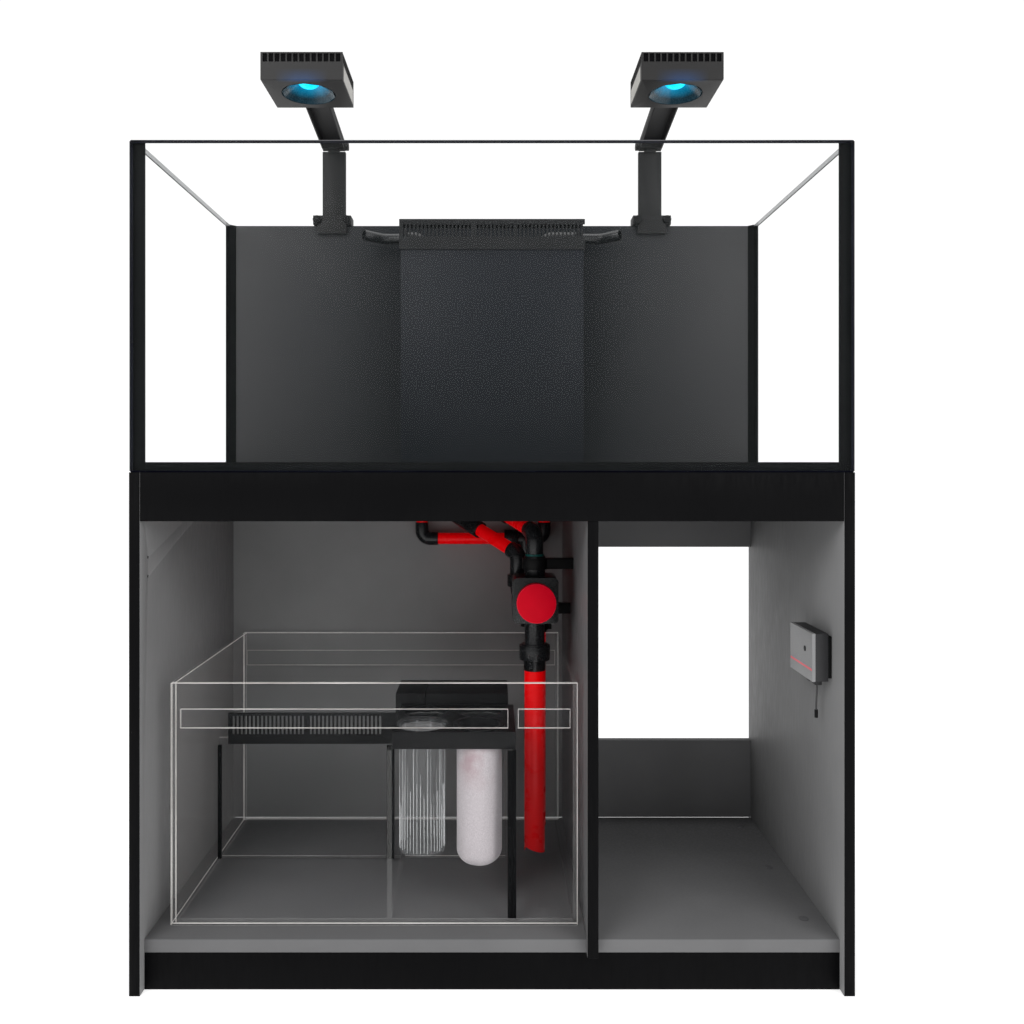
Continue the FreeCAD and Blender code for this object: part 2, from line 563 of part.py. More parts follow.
def nozzle(side, x_name):
    """A swivelling outlet: a spigot in the riser's elbow and a bent open end."""
    tag = "left" if side < 0 else "right"
    wall_x = side * size("box_x")
    y = size("return_y")
    z = size("nozzle_z")
    seat = wall_x + side * size("nozzle_seat")
    spigot_in = wall_x - side * size("socket_depth")
    radius = size("nozzle_radius")
    inner = radius - size("pipe_wall")
    bend_x = wall_x + side * size("nozzle_reach") * size("nozzle_bend_share")
    tip = Vector(wall_x + side * size("nozzle_reach"), y - size("nozzle_tip_forward"),
                 z + size("nozzle_tip_rise"))
    route = [Vector(seat, y, z), Vector(bend_x, y, z), tip]
    outlet = swept_rod(route, radius, size("nozzle_bend"))
    hollow = swept_rod(route, inner, size("nozzle_bend"))
    length = abs(seat - spigot_in)
    outward = Vector(side, 0, 0)
    spigot = Part.makeCylinder(size("return_radius") + size("glue_gap") - size("spigot_clearance"),
                               length + 2, Vector(spigot_in, y, z), outward)
    bore = Part.makeCylinder(inner, length + radius, Vector(spigot_in, y, z) - outward * 2, outward)
    node("return_nozzle_" + tag, shaped("nozzle_" + tag, outlet.fuse(spigot).cut(hollow).cut(bore)))
    x = size(x_name)
    elbow = [Vector(x, y, z - size("return_elbow_reach")), Vector(x, y, z), Vector(seat - side, y, z)]
    return fitting(elbow, size("return_radius"), size("return_fitting_radius"), size("riser_bend"))


# ---------------------------------------------------------------- plumbing in the cabinet
def sloping_drain(top, turn, turn_reach):
    """The elbow under one bulkhead, its short tail and the sloping pipe down to the next elbow."""
    radius = size("drain_radius")
    reach = size("drain_elbow_reach")
    socket = size("socket_depth")
    elbow = fitting([top + UP * reach, top, along(top, turn, reach)], radius,
                    size("drain_fitting_radius"), size("pipe_bend"))
    tail = pipe(top + UP * (reach - socket), Vector(top.x, top.y, size("cabinet_height") - 1), radius)
    slope = pipe(along(top, turn, reach - socket), along(turn, top, turn_reach - socket / 2), radius)
    return elbow, tail, slope


def spare_jog(turn):
    """The spare line's lower fitting: a nut and a double bend, and the pipe that it ends in."""
    radius = size("drain_radius")
    outer = size("drain_fitting_radius")
    bend = size("pipe_bend")
    nut_top = size("spare_nut_top")
    nut_bottom = size("spare_nut_bottom")
    overlap = size("spare_jog_overlap")
    top = Vector(turn.x, turn.y, nut_top - overlap)
    start = Vector(turn.x, turn.y, nut_bottom - size("spare_jog_lead"))
    end = Vector(size("spare_jog_x"), turn.y, start.z - size("spare_jog_drop"))
    tail = end + DOWN * size("spare_jog_tail")
    nut = Part.makeCylinder(size("spare_nut_radius"), nut_top - nut_bottom,
                            Vector(turn.x, turn.y, nut_bottom), UP)
    body = swept_rod([top, start, end, tail], outer - 1, bend).fuse(nut)
    bore = swept_rod([top + UP * overlap * 2, start, end, tail + DOWN], radius + size("glue_gap"), bend)
    return body.cut(bore), pipe(tail + UP * size("socket_depth"),
                                Vector(end.x, end.y, size("spare_bottom_z")), radius)


def drains():
    """The main drain and the spare one, from their bulkheads to the valve and the sump."""
    radius = size("drain_radius")
    outer = size("drain_fitting_radius")
    bend = size("pipe_bend")
    reach = size("drain_elbow_reach")
    main_top = point("main_hole_x", "drain_hole_y", "drain_turn_z")
    main_turn = point("main_x", "main_y", "main_turn_z")
    spare_top = point("spare_hole_x", "drain_hole_y", "drain_turn_z")
    spare_turn = point("spare_x", "spare_y", "spare_turn_z")
    main_elbow, main_tail, main_slope = sloping_drain(main_top, main_turn, size("main_turn_reach"))
    spare_elbow, spare_tail, spare_slope = sloping_drain(spare_top, spare_turn, size("spare_turn_reach"))
    seal_top = size("riser_socket_top") + size("seal_height")
    main_bend = fitting([along(main_turn, main_top, size("main_turn_reach")), main_turn,
                         point("main_x", "main_y", seal_top)], radius, outer, bend)
    drop = pipe(point("main_x", "main_y", seal_top + size("socket_depth")),
                point("main_x", "main_y", size("valve_top") + 2), radius)
    spare_bend = fitting([along(spare_turn, spare_top, size("spare_turn_reach")), spare_turn,
                          point("spare_x", "spare_y", "spare_nut_top")], radius, outer, bend)
    coupling = fitting([along(spare_top, spare_turn, reach + 2 * size("glue_gap")),
                        along(spare_top, spare_turn, size("coupling_end"))],
                       radius, outer + size("coupling_wall"), bend)
    jog, spare_drop = spare_jog(spare_turn)
    fittings = [main_elbow, spare_elbow, main_bend, spare_bend, coupling, jog]
    pipes = [main_tail, main_slope, spare_tail, spare_slope, drop, spare_drop]
    centre = ("main_x", "main_y")
    collar = ring("riser_socket", "Z", "riser_socket_radius", "drain_radius + glue_gap",
                  "valve_top", "riser_socket_top", centre)
    flange_bottom = "nut_bottom_z + down_flange_rise"
    sleeve = ring("down_socket", "Z", "down_socket_radius", "down_radius + glue_gap",
                  "down_socket_bottom", flange_bottom, centre)
    flange = ring("down_flange", "Z", "nut_radius - down_flange_slack", "down_radius + glue_gap",
                  flange_bottom, "nut_bottom_z + nut_height - nut_foot", centre)
    parts = [shaped("drain_fitting_%d" % number, solid) for number, solid in enumerate(fittings)]
    node("drain_fittings", group("drain_fitting_set", *parts, collar, fuse("down_end", sleeve, flange)))
    node("drain_seal_ring", ring("seal_ring", "Z", "seal_radius", "drain_radius + glue_gap",
                                 "riser_socket_top", "riser_socket_top + seal_height", centre))
    node("drain_cross_pipes", group("cross_pipe_set", *[shaped("cross_pipe_%d" % number, solid)
                                                        for number, solid in enumerate(pipes)]))


def downpipe():
    """The main drain's last pipe, cut off at a slant above the sump's floor."""
    body = ring("down_tube", "Z", "down_radius", "down_radius - pipe_wall", "down_bottom_z", "down_top_z",
                ("main_x", "main_y"))
    slope = math.degrees(math.atan2(size("down_cut_rise"), 2 * size("down_radius")))
    wedge = doc.addObject("Part::Box", "down_wedge")
    for prop in ("Length", "Width", "Height"):
        bind(wedge, prop, "down_radius * 4")
    wedge.Placement = FreeCAD.Placement(Vector(), Rotation(Vector(0, 1, 0), slope))
    place(wedge, "main_x - down_radius * 2", "main_y - down_radius * 2",
          "down_bottom_z + down_cut_rise * 1.5 - down_radius * 4")
    node("main_downpipe", cut("down_cut", body, wedge))
    nut = ring("nut_ring", "Z", "nut_radius", "nut_radius - nut_wall", "nut_bottom_z + nut_foot",
               "nut_bottom_z + nut_height", ("main_x", "main_y"))
    foot = ring("nut_sole", "Z", "nut_radius", "down_socket_radius + slide_clearance", "nut_bottom_z",
                "nut_bottom_z + nut_foot", ("main_x", "main_y"))
    node("union_nut", fuse("nut", nut, foot))


def valve():
    centre = ("main_x", "main_y")
    half = "valve_size / 2"
    shell = block("valve_block", ("main_x - " + half, "main_x + " + half),
                  ("main_y - " + half, "main_y + " + half), ("valve_bottom_z", "valve_top"))
    rounded = doc.addObject("Part::Fillet", "valve_rounded")
    rounded.Base = shell
    doc.recompute()
    along_y = [number for number, edge in enumerate(shell.Shape.Edges, start=1)
               if abs(edge.tangentAt(edge.FirstParameter).y) > 0.9]
    corner = size("valve_corner")
    rounded.Edges = [(number, corner, corner) for number in along_y]
    bonnet = rod("bonnet", "Y", "bonnet_radius", "valve_front - bonnet_length", "valve_front + 1",
                 ("main_x", "knob_z"))
    neck = rod("valve_neck", "Z", "valve_neck_radius", "nut_bottom_z + nut_height + 2",
               "valve_bottom_z + 1", centre)
    flange = rod("valve_flange", "Z", "nut_radius - 4.2", "nut_bottom_z + nut_height - 5.6",
                 "nut_bottom_z + nut_height + 2.4", centre)
    bore = rod("valve_bore_tool", "Z", "valve_bore", "nut_bottom_z", "valve_top + 1", centre)
    slack = "gate_clearance"
    room = block("gate_room", ("main_x - gate_width / 2 - " + slack, "main_x + gate_width / 2 + " + slack),
                 ("main_y + 1.5 - gate_length - 2 * gate_travel - 1 + valve_bore",
                  "main_y + 3 + valve_bore"),
                 ("knob_z - gate_thickness / 2 - " + slack, "knob_z + gate_thickness / 2 + " + slack))
    stem_hole = rod("stem_hole", "Y", "stem_radius + stem_clearance", "valve_front - bonnet_length - 1",
                    "main_y", ("main_x", "knob_z"))
    node("valve_body", cut("valve_shell", fuse("valve_outer", rounded, bonnet, neck, flange),
                           bore, room, stem_hole))
    gate_back = "main_y + 1.5 + valve_bore - gate_travel"
    slab = block("gate_slab", ("main_x - gate_width / 2", "main_x + gate_width / 2"),
                 (gate_back + " - gate_length", gate_back),
                 ("knob_z - gate_thickness / 2", "knob_z + gate_thickness / 2"))
    thread = rod("gate_thread", "Y", "stem_radius + stem_clearance", gate_back + " - gate_length - 1",
                 gate_back + " - 4", ("main_x", "knob_z"))
    node("valve_gate", cut("gate", slab, thread))
    knob_back = "valve_front - bonnet_length - knob_gap"
    stem_tip = "main_y + 1.5 + valve_bore - 2 * gate_travel - 4.5"
    stem = rod("stem", "Y", "stem_radius", knob_back + " - 1", stem_tip, ("main_x", "knob_z"))
    disc = rod("knob_disc", "Y", "knob_radius", knob_back + " - knob_thickness", knob_back,
               ("main_x", "knob_z"))
    node("valve_knob", fuse("knob", disc, stem))


def returns(riser_elbows):
    """The pump's return line: a tee, a union, the two risers' elbows and the pump's hose tail."""
    radius = size("return_radius")
    outer = size("return_fitting_radius")
    reach = size("return_elbow_reach")
    socket = size("socket_depth")
    bend = size("return_bend")
    slack = size("glue_gap")
    left = point("return_left_x", "return_y", "return_z")
    right = point("return_right_x", "return_y", "return_z")
    tee = point("return_tee_x", "return_y", "return_z")
    to_right = Vector(1, 0, 0)
    union_left = point("return_union_left", "return_y", "return_z")
    tee_left = tee - to_right * size("return_tee_half")
    tee_right = right - to_right * size("return_short_reach")
    leg = size("return_tee_leg")
    bore = Part.makeCylinder(radius + slack, 2 * size("box_x"), left, to_right)
    drop_bore = Part.makeCylinder(radius + slack, 2 * leg, tee, DOWN)
    union = Part.makeCylinder(size("return_union_radius"), tee_left.x - union_left.x - 2 * slack,
                              union_left, to_right)
    body = Part.makeCylinder(outer, tee_right.x - tee_left.x - 2 * slack, tee_left, to_right)
    body = body.fuse(Part.makeCylinder(outer, leg, tee, DOWN))
    tail = point("return_tee_x", "return_y", "pump_tail_z")
    collar = tail + UP * size("pump_spigot_length")
    stop = collar + UP * size("pump_collar_stop")
    hose_tail = Part.makeCylinder(size("pump_spigot_radius"), size("pump_spigot_length"), tail, UP)
    hose_tail = hose_tail.fuse(Part.makeCylinder(outer, size("pump_collar_length"), collar, UP))
    hose_tail = hose_tail.cut(Part.makeCylinder(radius - size("pipe_wall"), stop.z - tail.z, tail, UP))
    solids = [fitting([left + UP * reach, left, left + to_right * reach], radius, outer, bend),
              fitting([right + UP * reach, right, tee_right], radius, outer, bend),
              union.cut(bore), body.cut(bore).cut(drop_bore),
              hose_tail.cut(Part.makeCylinder(radius + slack, size("pump_collar_length"), stop, UP))]
    solids.extend(riser_elbows)
    node("return_fittings", group("return_fitting_set", *[shaped("return_fitting_%d" % number, solid)
                                                          for number, solid in enumerate(solids)]))
    pipes = [pipe(left + to_right * (reach - socket), union_left + to_right * socket, radius),
             pipe(tee_left - to_right * size("tee_pipe_left"), tee_left + to_right * size("tee_pipe_right"),
                  radius),
             pipe(tee + DOWN * (leg - socket), stop, radius)]
    node("return_pipes", group("return_pipe_set", *[shaped("return_pipe_%d" % number, solid)
                                                    for number, solid in enumerate(pipes)]))


def clips():
    """Two brackets that carry the drains off the divider's left face."""
    centre = ("main_x", "main_y")
    jog = ("spare_jog_x", "spare_y")
    half = "clip_width / 2"
    main_y = ("main_y - " + half, "main_y + " + half)
    spare_y = ("spare_y - " + half, "spare_y + " + half)
    upper_top = "upper_clip_z + clip_height"
    upper = cut("upper_clip",
                fuse("upper_clip_body",
                     rod("upper_clip_ring", "Z", "riser_socket_radius + clip_wall", "upper_clip_z",
                         upper_top, centre),
                     block("upper_clip_bar", ("main_x", "divider_left"), main_y,
                           ("upper_clip_z", upper_top))),
                rod("upper_clip_bore", "Z", "riser_socket_radius + glue_gap", "upper_clip_z - 1",
                    upper_top + " + 1", centre))
    ring_bottom = "lower_clip_z - clip_ring_drop"
    ring_top = ring_bottom + " + clip_ring_height"
    lower_top = "lower_clip_z + clip_height"
    strut = "spare_jog_x + clip_strut_offset"
    lower = cut("lower_clip",
                fuse("lower_clip_body",
                     rod("lower_clip_ring", "Z", "drain_fitting_radius + clip_wall", ring_bottom,
                         ring_top, jog),
                     block("lower_clip_strut", (strut, strut + " + clip_strut"), spare_y,
                           (ring_bottom, lower_top)),
                     block("lower_clip_bar", (strut, "divider_left"), spare_y,
                           ("lower_clip_z", lower_top))),
                rod("lower_clip_bore", "Z", "drain_fitting_radius - 1 + glue_gap", ring_bottom + " - 1",
                    ring_top + " + 1", jog))
    node("pipe_clips", group("clip_set", upper, lower))


# ---------------------------------------------------------------- sump
def sump():
    z = ("floor_top", "sump_top")
    inner_y = ("sump_in_front", "sump_in_back")
    inner_x = ("sump_in_left", "sump_in_right")
    node("sump_walls", group(
        "sump_wall_set",
        block("sump_front_glass", ("sump_left", "sump_right"), ("sump_front", "sump_in_front"), z),
        block("sump_back_glass", ("sump_left", "sump_right"), ("sump_in_back", "sump_back"), z),
        block("sump_left_glass", ("sump_left", "sump_in_left"), inner_y, z),
        block("sump_right_glass", ("sump_in_right", "sump_right"), inner_y, z)))
    node("sump_bottom_pane", block("sump_base", inner_x, inner_y, ("floor_top", "sump_floor")))
    half = "sump_glass / 2"
    chamber_z = ("sump_floor", "tray_seat")
    baffle_y = ("baffle_y", "baffle_y + sump_glass")
    node("sump_partitions", group(
        "partition_set",
        block("baffle", ("sump_in_left", "chamber_wall_x - " + half), baffle_y,
              ("sump_floor", "baffle_top")),
        block("chamber_rear", ("chamber_wall_x + " + half, "partition_x - " + half), baffle_y, chamber_z),
        block("chamber_side", ("chamber_wall_x - " + half, "chamber_wall_x + " + half),
              ("sump_in_front", "baffle_y + sump_glass"), chamber_z),
        block("return_wall", ("partition_x - " + half, "partition_x + " + half), inner_y, chamber_z)))
    front_z = ("sump_top - front_brace_top_drop - brace_height", "sump_top - front_brace_top_drop")
    back_z = ("sump_top - back_brace_top_drop - brace_height", "sump_top - back_brace_top_drop")
    front_y = ("sump_in_front", "sump_in_front + brace_thickness")
    node("sump_braces", group(
        "brace_set",
        block("front_brace", ("sump_in_left + brace_left_gap", "partition_x - brace_reach"), front_y,
              front_z),
        block("front_brace_short", ("partition_x - brace_reach + brace_gap",
                                    "sump_in_right - brace_right_gap"), front_y, front_z),
        block("back_brace", ("sump_in_left", "sump_in_right"),
              ("sump_in_back - brace_thickness", "sump_in_back"), back_z)))
    strip_y = ("baffle_y - seal_strip_thickness", "baffle_y")
    low_z = ("sump_floor", "baffle_top - seal_strip_drop")
    middle_right = "chamber_wall_x - seal_strip_gap"
    node("sump_edge_seals", group(
        "seal_set",
        block("seal_left", ("sump_in_left", "sump_in_left + seal_strip_thickness"), strip_y, low_z),
        block("seal_middle", (middle_right + " - seal_strip_width", middle_right), strip_y, low_z),
        block("seal_front", ("partition_x + " + half, "partition_x + %s + seal_strip_thickness" % half),
              ("sump_in_front", "sump_in_front + seal_strip_thickness"), chamber_z)))


def weir_comb():
    """A slotted strip that clips over the baffle and holds back what floats."""
    second = "(comb_edge + comb_slot_pitch * weir_slots + weir_gap - comb_slot_width)"
    slots = [slot_row(start, "weir_slots", "weir_slot_rise", "weir_slot_height")
             for start in ("comb_edge", second)]
    plate = slotted_plate("weir_plate_body", "weir_width", "weir_height", "comb_plate", slots)
    bottom = "baffle_top - comb_clip_wall * 4"
    place(plate, "weir_left", "baffle_y - comb_clearance - comb_plate", bottom)
    back = "baffle_y + sump_glass + comb_clearance"
    across = ("weir_left", "weir_left + weir_width")
    web = block("weir_web", across, ("baffle_y - comb_clearance - comb_plate / 2",
                                     back + " + comb_clip_wall"),
                ("baffle_top", "baffle_top + comb_clip_wall"))
    lip = block("weir_lip", across, (back, back + " + comb_clip_wall"), (bottom, "baffle_top + 1"))
    node("weir_comb", fuse("weir_all", plate, web, lip))


def filter_tray():
    x = ("tray_left", "tray_right")
    y = ("tray_front", "tray_back")
    shell = block("tray_block", x, y, ("tray_seat", "tray_top"))
    room = block("tray_room", ("tray_left + tray_wall", "tray_right - tray_wall - tray_right_room"),
                 ("tray_front + tray_wall", "tray_back - tray_wall"),
                 ("tray_seat - 1", "tray_top - tray_plate"))
    holes = [rod("tray_hole_%d%d" % (col, row), "Z", "tray_hole_radius", "tray_seat - 1", "tray_top + 1",
                 ("hole_left_x + tray_pitch_x * %d" % col, "hole_front_y + tray_pitch_y * %d" % row))
             for col in (0, 1) for row in (0, 1)]
    node("filter_tray", cut("tray", shell, room, *holes))
    left = "tray_left - cover_left_reach"
    split = left + " + cover_split"
    back = "tray_back + cover_depth"
    top = "tray_top + cover_thickness"
    covers = []
    for tag, start, end in (("small", left, split), ("large", split + " + cover_gap", "partition_x")):
        lid = block("lid_" + tag, (start, end), ("tray_back + cover_tray_gap", back), ("tray_seat", top))
        hollow = block("lid_room_" + tag, (start + " + cover_wall", end + " - cover_wall"),
                       ("tray_back + cover_tray_gap + cover_wall", back + " - cover_wall"),
                       ("tray_seat - 1", top + " - cover_wall"))
        covers.append(cut("cover_" + tag, lid, hollow))
    node("tray_covers", group("cover_set", *covers))


def rounded_can(tag, radius, bottom, top, at, rounding):
    """A cylinder whose bottom edge is rounded."""
    can = rod(tag + "_can", "Z", radius, bottom, top, at)
    doc.recompute()
    low = can.Shape.BoundBox.ZMin
    rim = [number for number, edge in enumerate(can.Shape.Edges, start=1)
           if edge.BoundBox.ZMax < low + 0.5]
    made = doc.addObject("Part::Fillet", tag)
    made.Base = can
    made.Edges = [(number, rounding, rounding) for number in rim]
    return made


def filters():
    cup_at = ("hole_left_x", "hole_front_y")
    lip_top = "tray_top + lip_thickness"
    cup = cut("cup",
              fuse("cup_body",
                   rod("cup_can", "Z", "cup_radius", "tray_top - cup_drop", lip_top, cup_at),
                   rod("cup_lip", "Z", "lip_radius", "tray_top", lip_top, cup_at)),
              rod("cup_hollow", "Z", "cup_radius - cup_wall", "tray_top - cup_drop + cup_wall",
                  lip_top + " + 1", cup_at))
    node("media_cup", cup)
    sock_at = ("hole_right_x", "hole_front_y")
    collar_radius = "sock_radius - sock_wall - sock_clearance"
    node("sock_ring", cut("sock_ring_cut",
                          fuse("sock_ring_body",
                               rod("sock_lip", "Z", "lip_radius", "tray_top", lip_top, sock_at),
                               rod("sock_collar", "Z", collar_radius, "tray_top - sock_collar_length",
                                   lip_top, sock_at)),
                          rod("sock_mouth", "Z", collar_radius + " - sock_ring_wall",
                              "tray_top - sock_collar_length - 1", lip_top + " + 1", sock_at)))
    rounding = size("sock_round")
    bottom = "tray_top - sock_drop"
    outer = rounded_can("sock_outer", "sock_radius", bottom, "tray_top - sock_clearance", sock_at, rounding)
    inner = rounded_can("sock_inner", "sock_radius - sock_wall", bottom + " + sock_wall", "tray_top + 1",
                        sock_at, rounding - size("sock_wall"))
    node("filter_sock", cut("sock", outer, inner))


# ---------------------------------------------------------------- lamps
def about(middle, half):
    """An x range centred on a lamp."""
    return "%s - %s" % (middle, half), "%s + %s" % (middle, half)


def clamp(tag, middle):
    """The hook over the back pane's rim, with the socket for the post; returns its two screws."""
    sleeve_back = "back_y + clamp_sleeve_depth"
    face = "glass_in_back - clamp_lip_depth"
    gap = "slide_clearance"
    low = "rim_z - clamp_sleeve_drop"
    top = block("clamp_top_" + tag, about(middle, "clamp_width / 2"), (face, sleeve_back),
                ("rim_z", "rim_z + clamp_height"))
    sleeve_x = about(middle, "clamp_sleeve_width / 2")
    lip = block("clamp_lip_" + tag, sleeve_x, (face, "glass_in_back - " + gap),
                ("rim_z - clamp_lip_drop", "rim_z"))
    sleeve = block("clamp_sleeve_" + tag, sleeve_x, ("back_y + " + gap, sleeve_back), (low, "rim_z"))
    socket = block("clamp_socket_" + tag, about(middle, "(post_width / 2 + slide_clearance)"),
                   ("post_front - " + gap, "post_back + " + gap),
                   (low + " - 1", "rim_z + clamp_height + 1"))
    screw_z = "rim_z + clamp_height / 2"
    holes = []
    screws = []
    for number, x in enumerate(about(middle, "screw_spacing / 2")):
        name = "%s_%d" % (tag, number)
        at = (x, screw_z)
        holes.append(rod("screw_hole_" + name, "Y", "screw_shank_radius + glue_gap", face + " - 1",
                         "glass_in_back", at))
        screws.append(fuse("screw_" + name,
                           rod("screw_head_" + name, "Y", "screw_head_radius",
                               face + " - screw_head_length", face, at),
                           rod("screw_shank_" + name, "Y", "screw_shank_radius", face + " - 1",
                               "glass_in_back - 1", at)))
    node("lamp_clamp_" + tag, cut("clamp_" + tag, fuse("clamp_body_" + tag, top, lip, sleeve), socket,
                                  *holes))
    return screws


def post(tag, middle):
    """The flat bar that slides in the clamp, with the hinge's knuckle on top."""
    tongue = about(middle, "tongue_width / 2")
    bar = block("post_bar_" + tag, about(middle, "post_width / 2"), ("post_front", "post_back"),
                ("rim_z - post_below_rim", "hinge_z - knuckle_radius - 2"))
    neck = block("post_neck_" + tag, tongue, ("hinge_y - knuckle_radius", "hinge_y + knuckle_radius"),
                 ("hinge_z - knuckle_radius * 1.6", "hinge_z"))
    knuckle = rod("post_knuckle_" + tag, "X", "knuckle_radius", *tongue, ("hinge_y", "hinge_z"))
    pin_hole = rod("post_pin_hole_" + tag, "X", "hinge_pin_radius + hinge_pin_clearance",
                   *about(middle, "post_width"), ("hinge_y", "hinge_z"))
    node("lamp_post_" + tag, cut("post_" + tag, fuse("post_body_" + tag, bar, neck, knuckle), pin_hole))


def arm(tag, middle, pin_side):
    """The hollow arm, made level about its hinge and then tilted; its knob faces the tank's middle."""
    half = "arm_width / 2"
    ear_in = "(tongue_width / 2 + ear_clearance)"
    at = ("0", "0")
    pieces = []
    for number, (start, end) in enumerate((("-" + half, "-" + ear_in), (ear_in, half))):
        name = "%s_%d" % (tag, number)
        pieces.append(rod("ear_" + name, "X", "knuckle_radius", start, end, at))
        pieces.append(block("cheek_" + name, (start, end), ("-arm_start - 1", "0"),
                            ("-knuckle_radius", "knuckle_radius")))
    pieces.append(block("beam_" + tag, ("-" + half, half), ("-hinge_y + lamp_back - arm_extra", "-arm_start"),
                        ("-arm_thickness / 2", "arm_thickness / 2")))
    knob_ends = [half, half + " + hinge_knob_length"]
    if pin_side < 0:
        knob_ends = ["-%s - hinge_knob_length" % half, "-" + half]
    pieces.append(rod("arm_knob_" + tag, "X", "hinge_knob_radius", *knob_ends, at))
    pieces.append(rod("arm_pin_" + tag, "X", "hinge_pin_radius", "-" + half, half, at))
    room = block("beam_room_" + tag, ("-%s + arm_wall" % half, half + " - arm_wall"),
                 ("-hinge_y + lamp_back + arm_wall * 2", "-arm_start - arm_wall * 2"),
                 ("-arm_thickness / 2 - 1", "arm_thickness / 2 - arm_wall"))
    tilted = cut("arm_tilted_" + tag, fuse("arm_body_" + tag, *pieces), room)
    tilted.Placement = FreeCAD.Placement(Vector(), Rotation(Vector(1, 0, 0), -size("arm_rise_angle")))
    place(tilted, middle, "hinge_y", "hinge_z")
    beyond = block("arm_stop_" + tag, about(middle, "arm_width"), ("lamp_front", "lamp_back"),
                   ("lamp_bottom - lamp_height", "lamp_bottom + lamp_height * 2"))
    node("lamp_arm_" + tag, cut("arm_" + tag, tilted, beyond))


def head(tag, middle):
    """The lamp itself: a hollow housing, and the reflector cone with its lens."""
    x = about(middle, "lamp_width / 2")
    at = (middle, "lamp_mid_y")
    lens_bottom = "lamp_bottom + reflector_depth"
    lens_top = lens_bottom + " + lens_thickness"
    shell = block("lamp_block_" + tag, x, ("lamp_front", "lamp_back"),
                  ("lamp_bottom", "lamp_bottom + lamp_height"))
    mouth = rod("lamp_mouth_" + tag, "Z", "reflector_radius + glue_gap", "lamp_bottom - 1",
                lens_top + " + 2", at)
    inside = block("lamp_room_" + tag, (x[0] + " + lamp_shell", x[1] + " - lamp_shell"),
                   ("lamp_front + lamp_shell", "lamp_back - lamp_shell"),
                   (lens_top, "lamp_bottom + lamp_height - lamp_shell"))
    node("lamp_housing_" + tag, cut("housing_" + tag, shell, mouth, inside))
    cone = doc.addObject("Part::Cone", "reflector_cone_" + tag)
    hollow = doc.addObject("Part::Cone", "reflector_hollow_" + tag)
    for thing, slack in ((cone, "0"), (hollow, "reflector_wall")):
        bind(thing, "Radius1", "reflector_radius - " + slack)
        bind(thing, "Radius2", "lens_radius + reflector_wall - " + slack)
        bind(thing, "Height", "reflector_depth")
        place(thing, middle, "lamp_mid_y", "lamp_bottom")
    lens = rod("lens_" + tag, "Z", "lens_radius + reflector_wall", lens_bottom, lens_top, at)
    node("lamp_lens_" + tag, fuse("lens_set_" + tag, cut("reflector_" + tag, cone, hollow), lens))


def lamps():
    screws = []
    for side, tag in ((-1, "left"), (1, "right")):
        middle = "(%d * lamp_x)" % side
        screws += clamp(tag, middle)
        post(tag, middle)
        arm(tag, middle, -side)
        head(tag, middle)
    node("lamp_clamp_screws", group("screw_set", *screws))


# ---------------------------------------------------------------- controller on the right wall
LEAD_ROUTE = [(0, 0, 0), (0, 0, -14), (-0.9, 1.2, -29), (-0.4, 2.6, -45)]


def controller():
    y = ("ctrl_front", "ctrl_back")
    z = ("ctrl_bottom_z", "ctrl_top")
    node("controller_bracket", block("bracket", ("ctrl_case_x", "inner_x"),
                                     ("ctrl_front + bracket_front", "ctrl_back + bracket_back"),
                                     ("ctrl_bottom_z + bracket_bottom", "ctrl_top - bracket_top")))
    case = block("ctrl_shell", ("ctrl_cover_x", "ctrl_case_x"), y, z)
    room = block("ctrl_room", ("ctrl_cover_x - 1", "ctrl_case_x - ctrl_wall"),
                 ("ctrl_front + ctrl_wall", "ctrl_back - ctrl_wall"),
                 ("ctrl_bottom_z + ctrl_wall", "ctrl_top - ctrl_wall"))
    plugs = []
    for number in (0, 1):
        start = "ctrl_front + plug_front + plug_pitch * %d" % number
        plugs.append(block("ctrl_plug_%d" % number,
                           ("ctrl_case_x - plug_inset - plug_width", "ctrl_case_x - plug_inset"),
                           (start, start + " + plug_length"),
                           ("ctrl_bottom_z - plug_height", "ctrl_bottom_z + 0.5")))
    node("controller_case", fuse("ctrl_case_all", cut("ctrl_case_cut", case, room), *plugs))
    plate = block("ctrl_plate", ("ctrl_face_x", "ctrl_cover_x"), y, z)
    button_at = ("ctrl_front + button_setback", "ctrl_bottom_z + button_height")
    hole = rod("button_hole", "X", "button_radius + button_clearance", "ctrl_face_x - 1",
               "ctrl_cover_x + 1", button_at)
    node("controller_cover", cut("ctrl_cover_cut", plate, hole))
    button_face = "ctrl_face_x - button_proud"
    node("controller_button", rod("button", "X", "button_radius", button_face,
                                  button_face + " + button_length", button_at))
    start = Vector(size("ctrl_case_x") - size("plug_inset") - size("plug_width") / 2,
                   size("ctrl_front") + size("plug_front") + size("plug_length") / 2,
                   size("ctrl_bottom_z") - size("plug_height"))
    route = [start + Vector(*step) for step in LEAD_ROUTE]
    node("controller_lead", shaped("lead", swept_rod(route, size("lead_radius"))))
    end_dir = (route[-1] - route[-2]).normalize()
    end = Part.makeCylinder(size("lead_end_radius"), size("lead_end_length"), route[-1], end_dir)
    node("lead_connector", shaped("lead_end", end))


# ---------------------------------------------------------------- build, check and write
def check_and_write():
    doc.recompute()
    for thing in doc.Objects:
        if "Invalid" in thing.State or "Error" in thing.State:
            raise RuntimeError("failed object: %s %s" % (thing.Label, thing.State))
    os.makedirs("parts", exist_ok=True)
    for label, thing in NODES.items():
        shape = thing.Shape
        if shape.isNull() or not shape.isValid() or not shape.Solids:
            raise RuntimeError("bad shape: " + label)
        shape.exportStep("parts/%s.step" % label)
        print("%-24s %2d solids %12.0f mm3" % (label, len(shape.Solids), shape.Volume))
    print(len(NODES), "nodes")


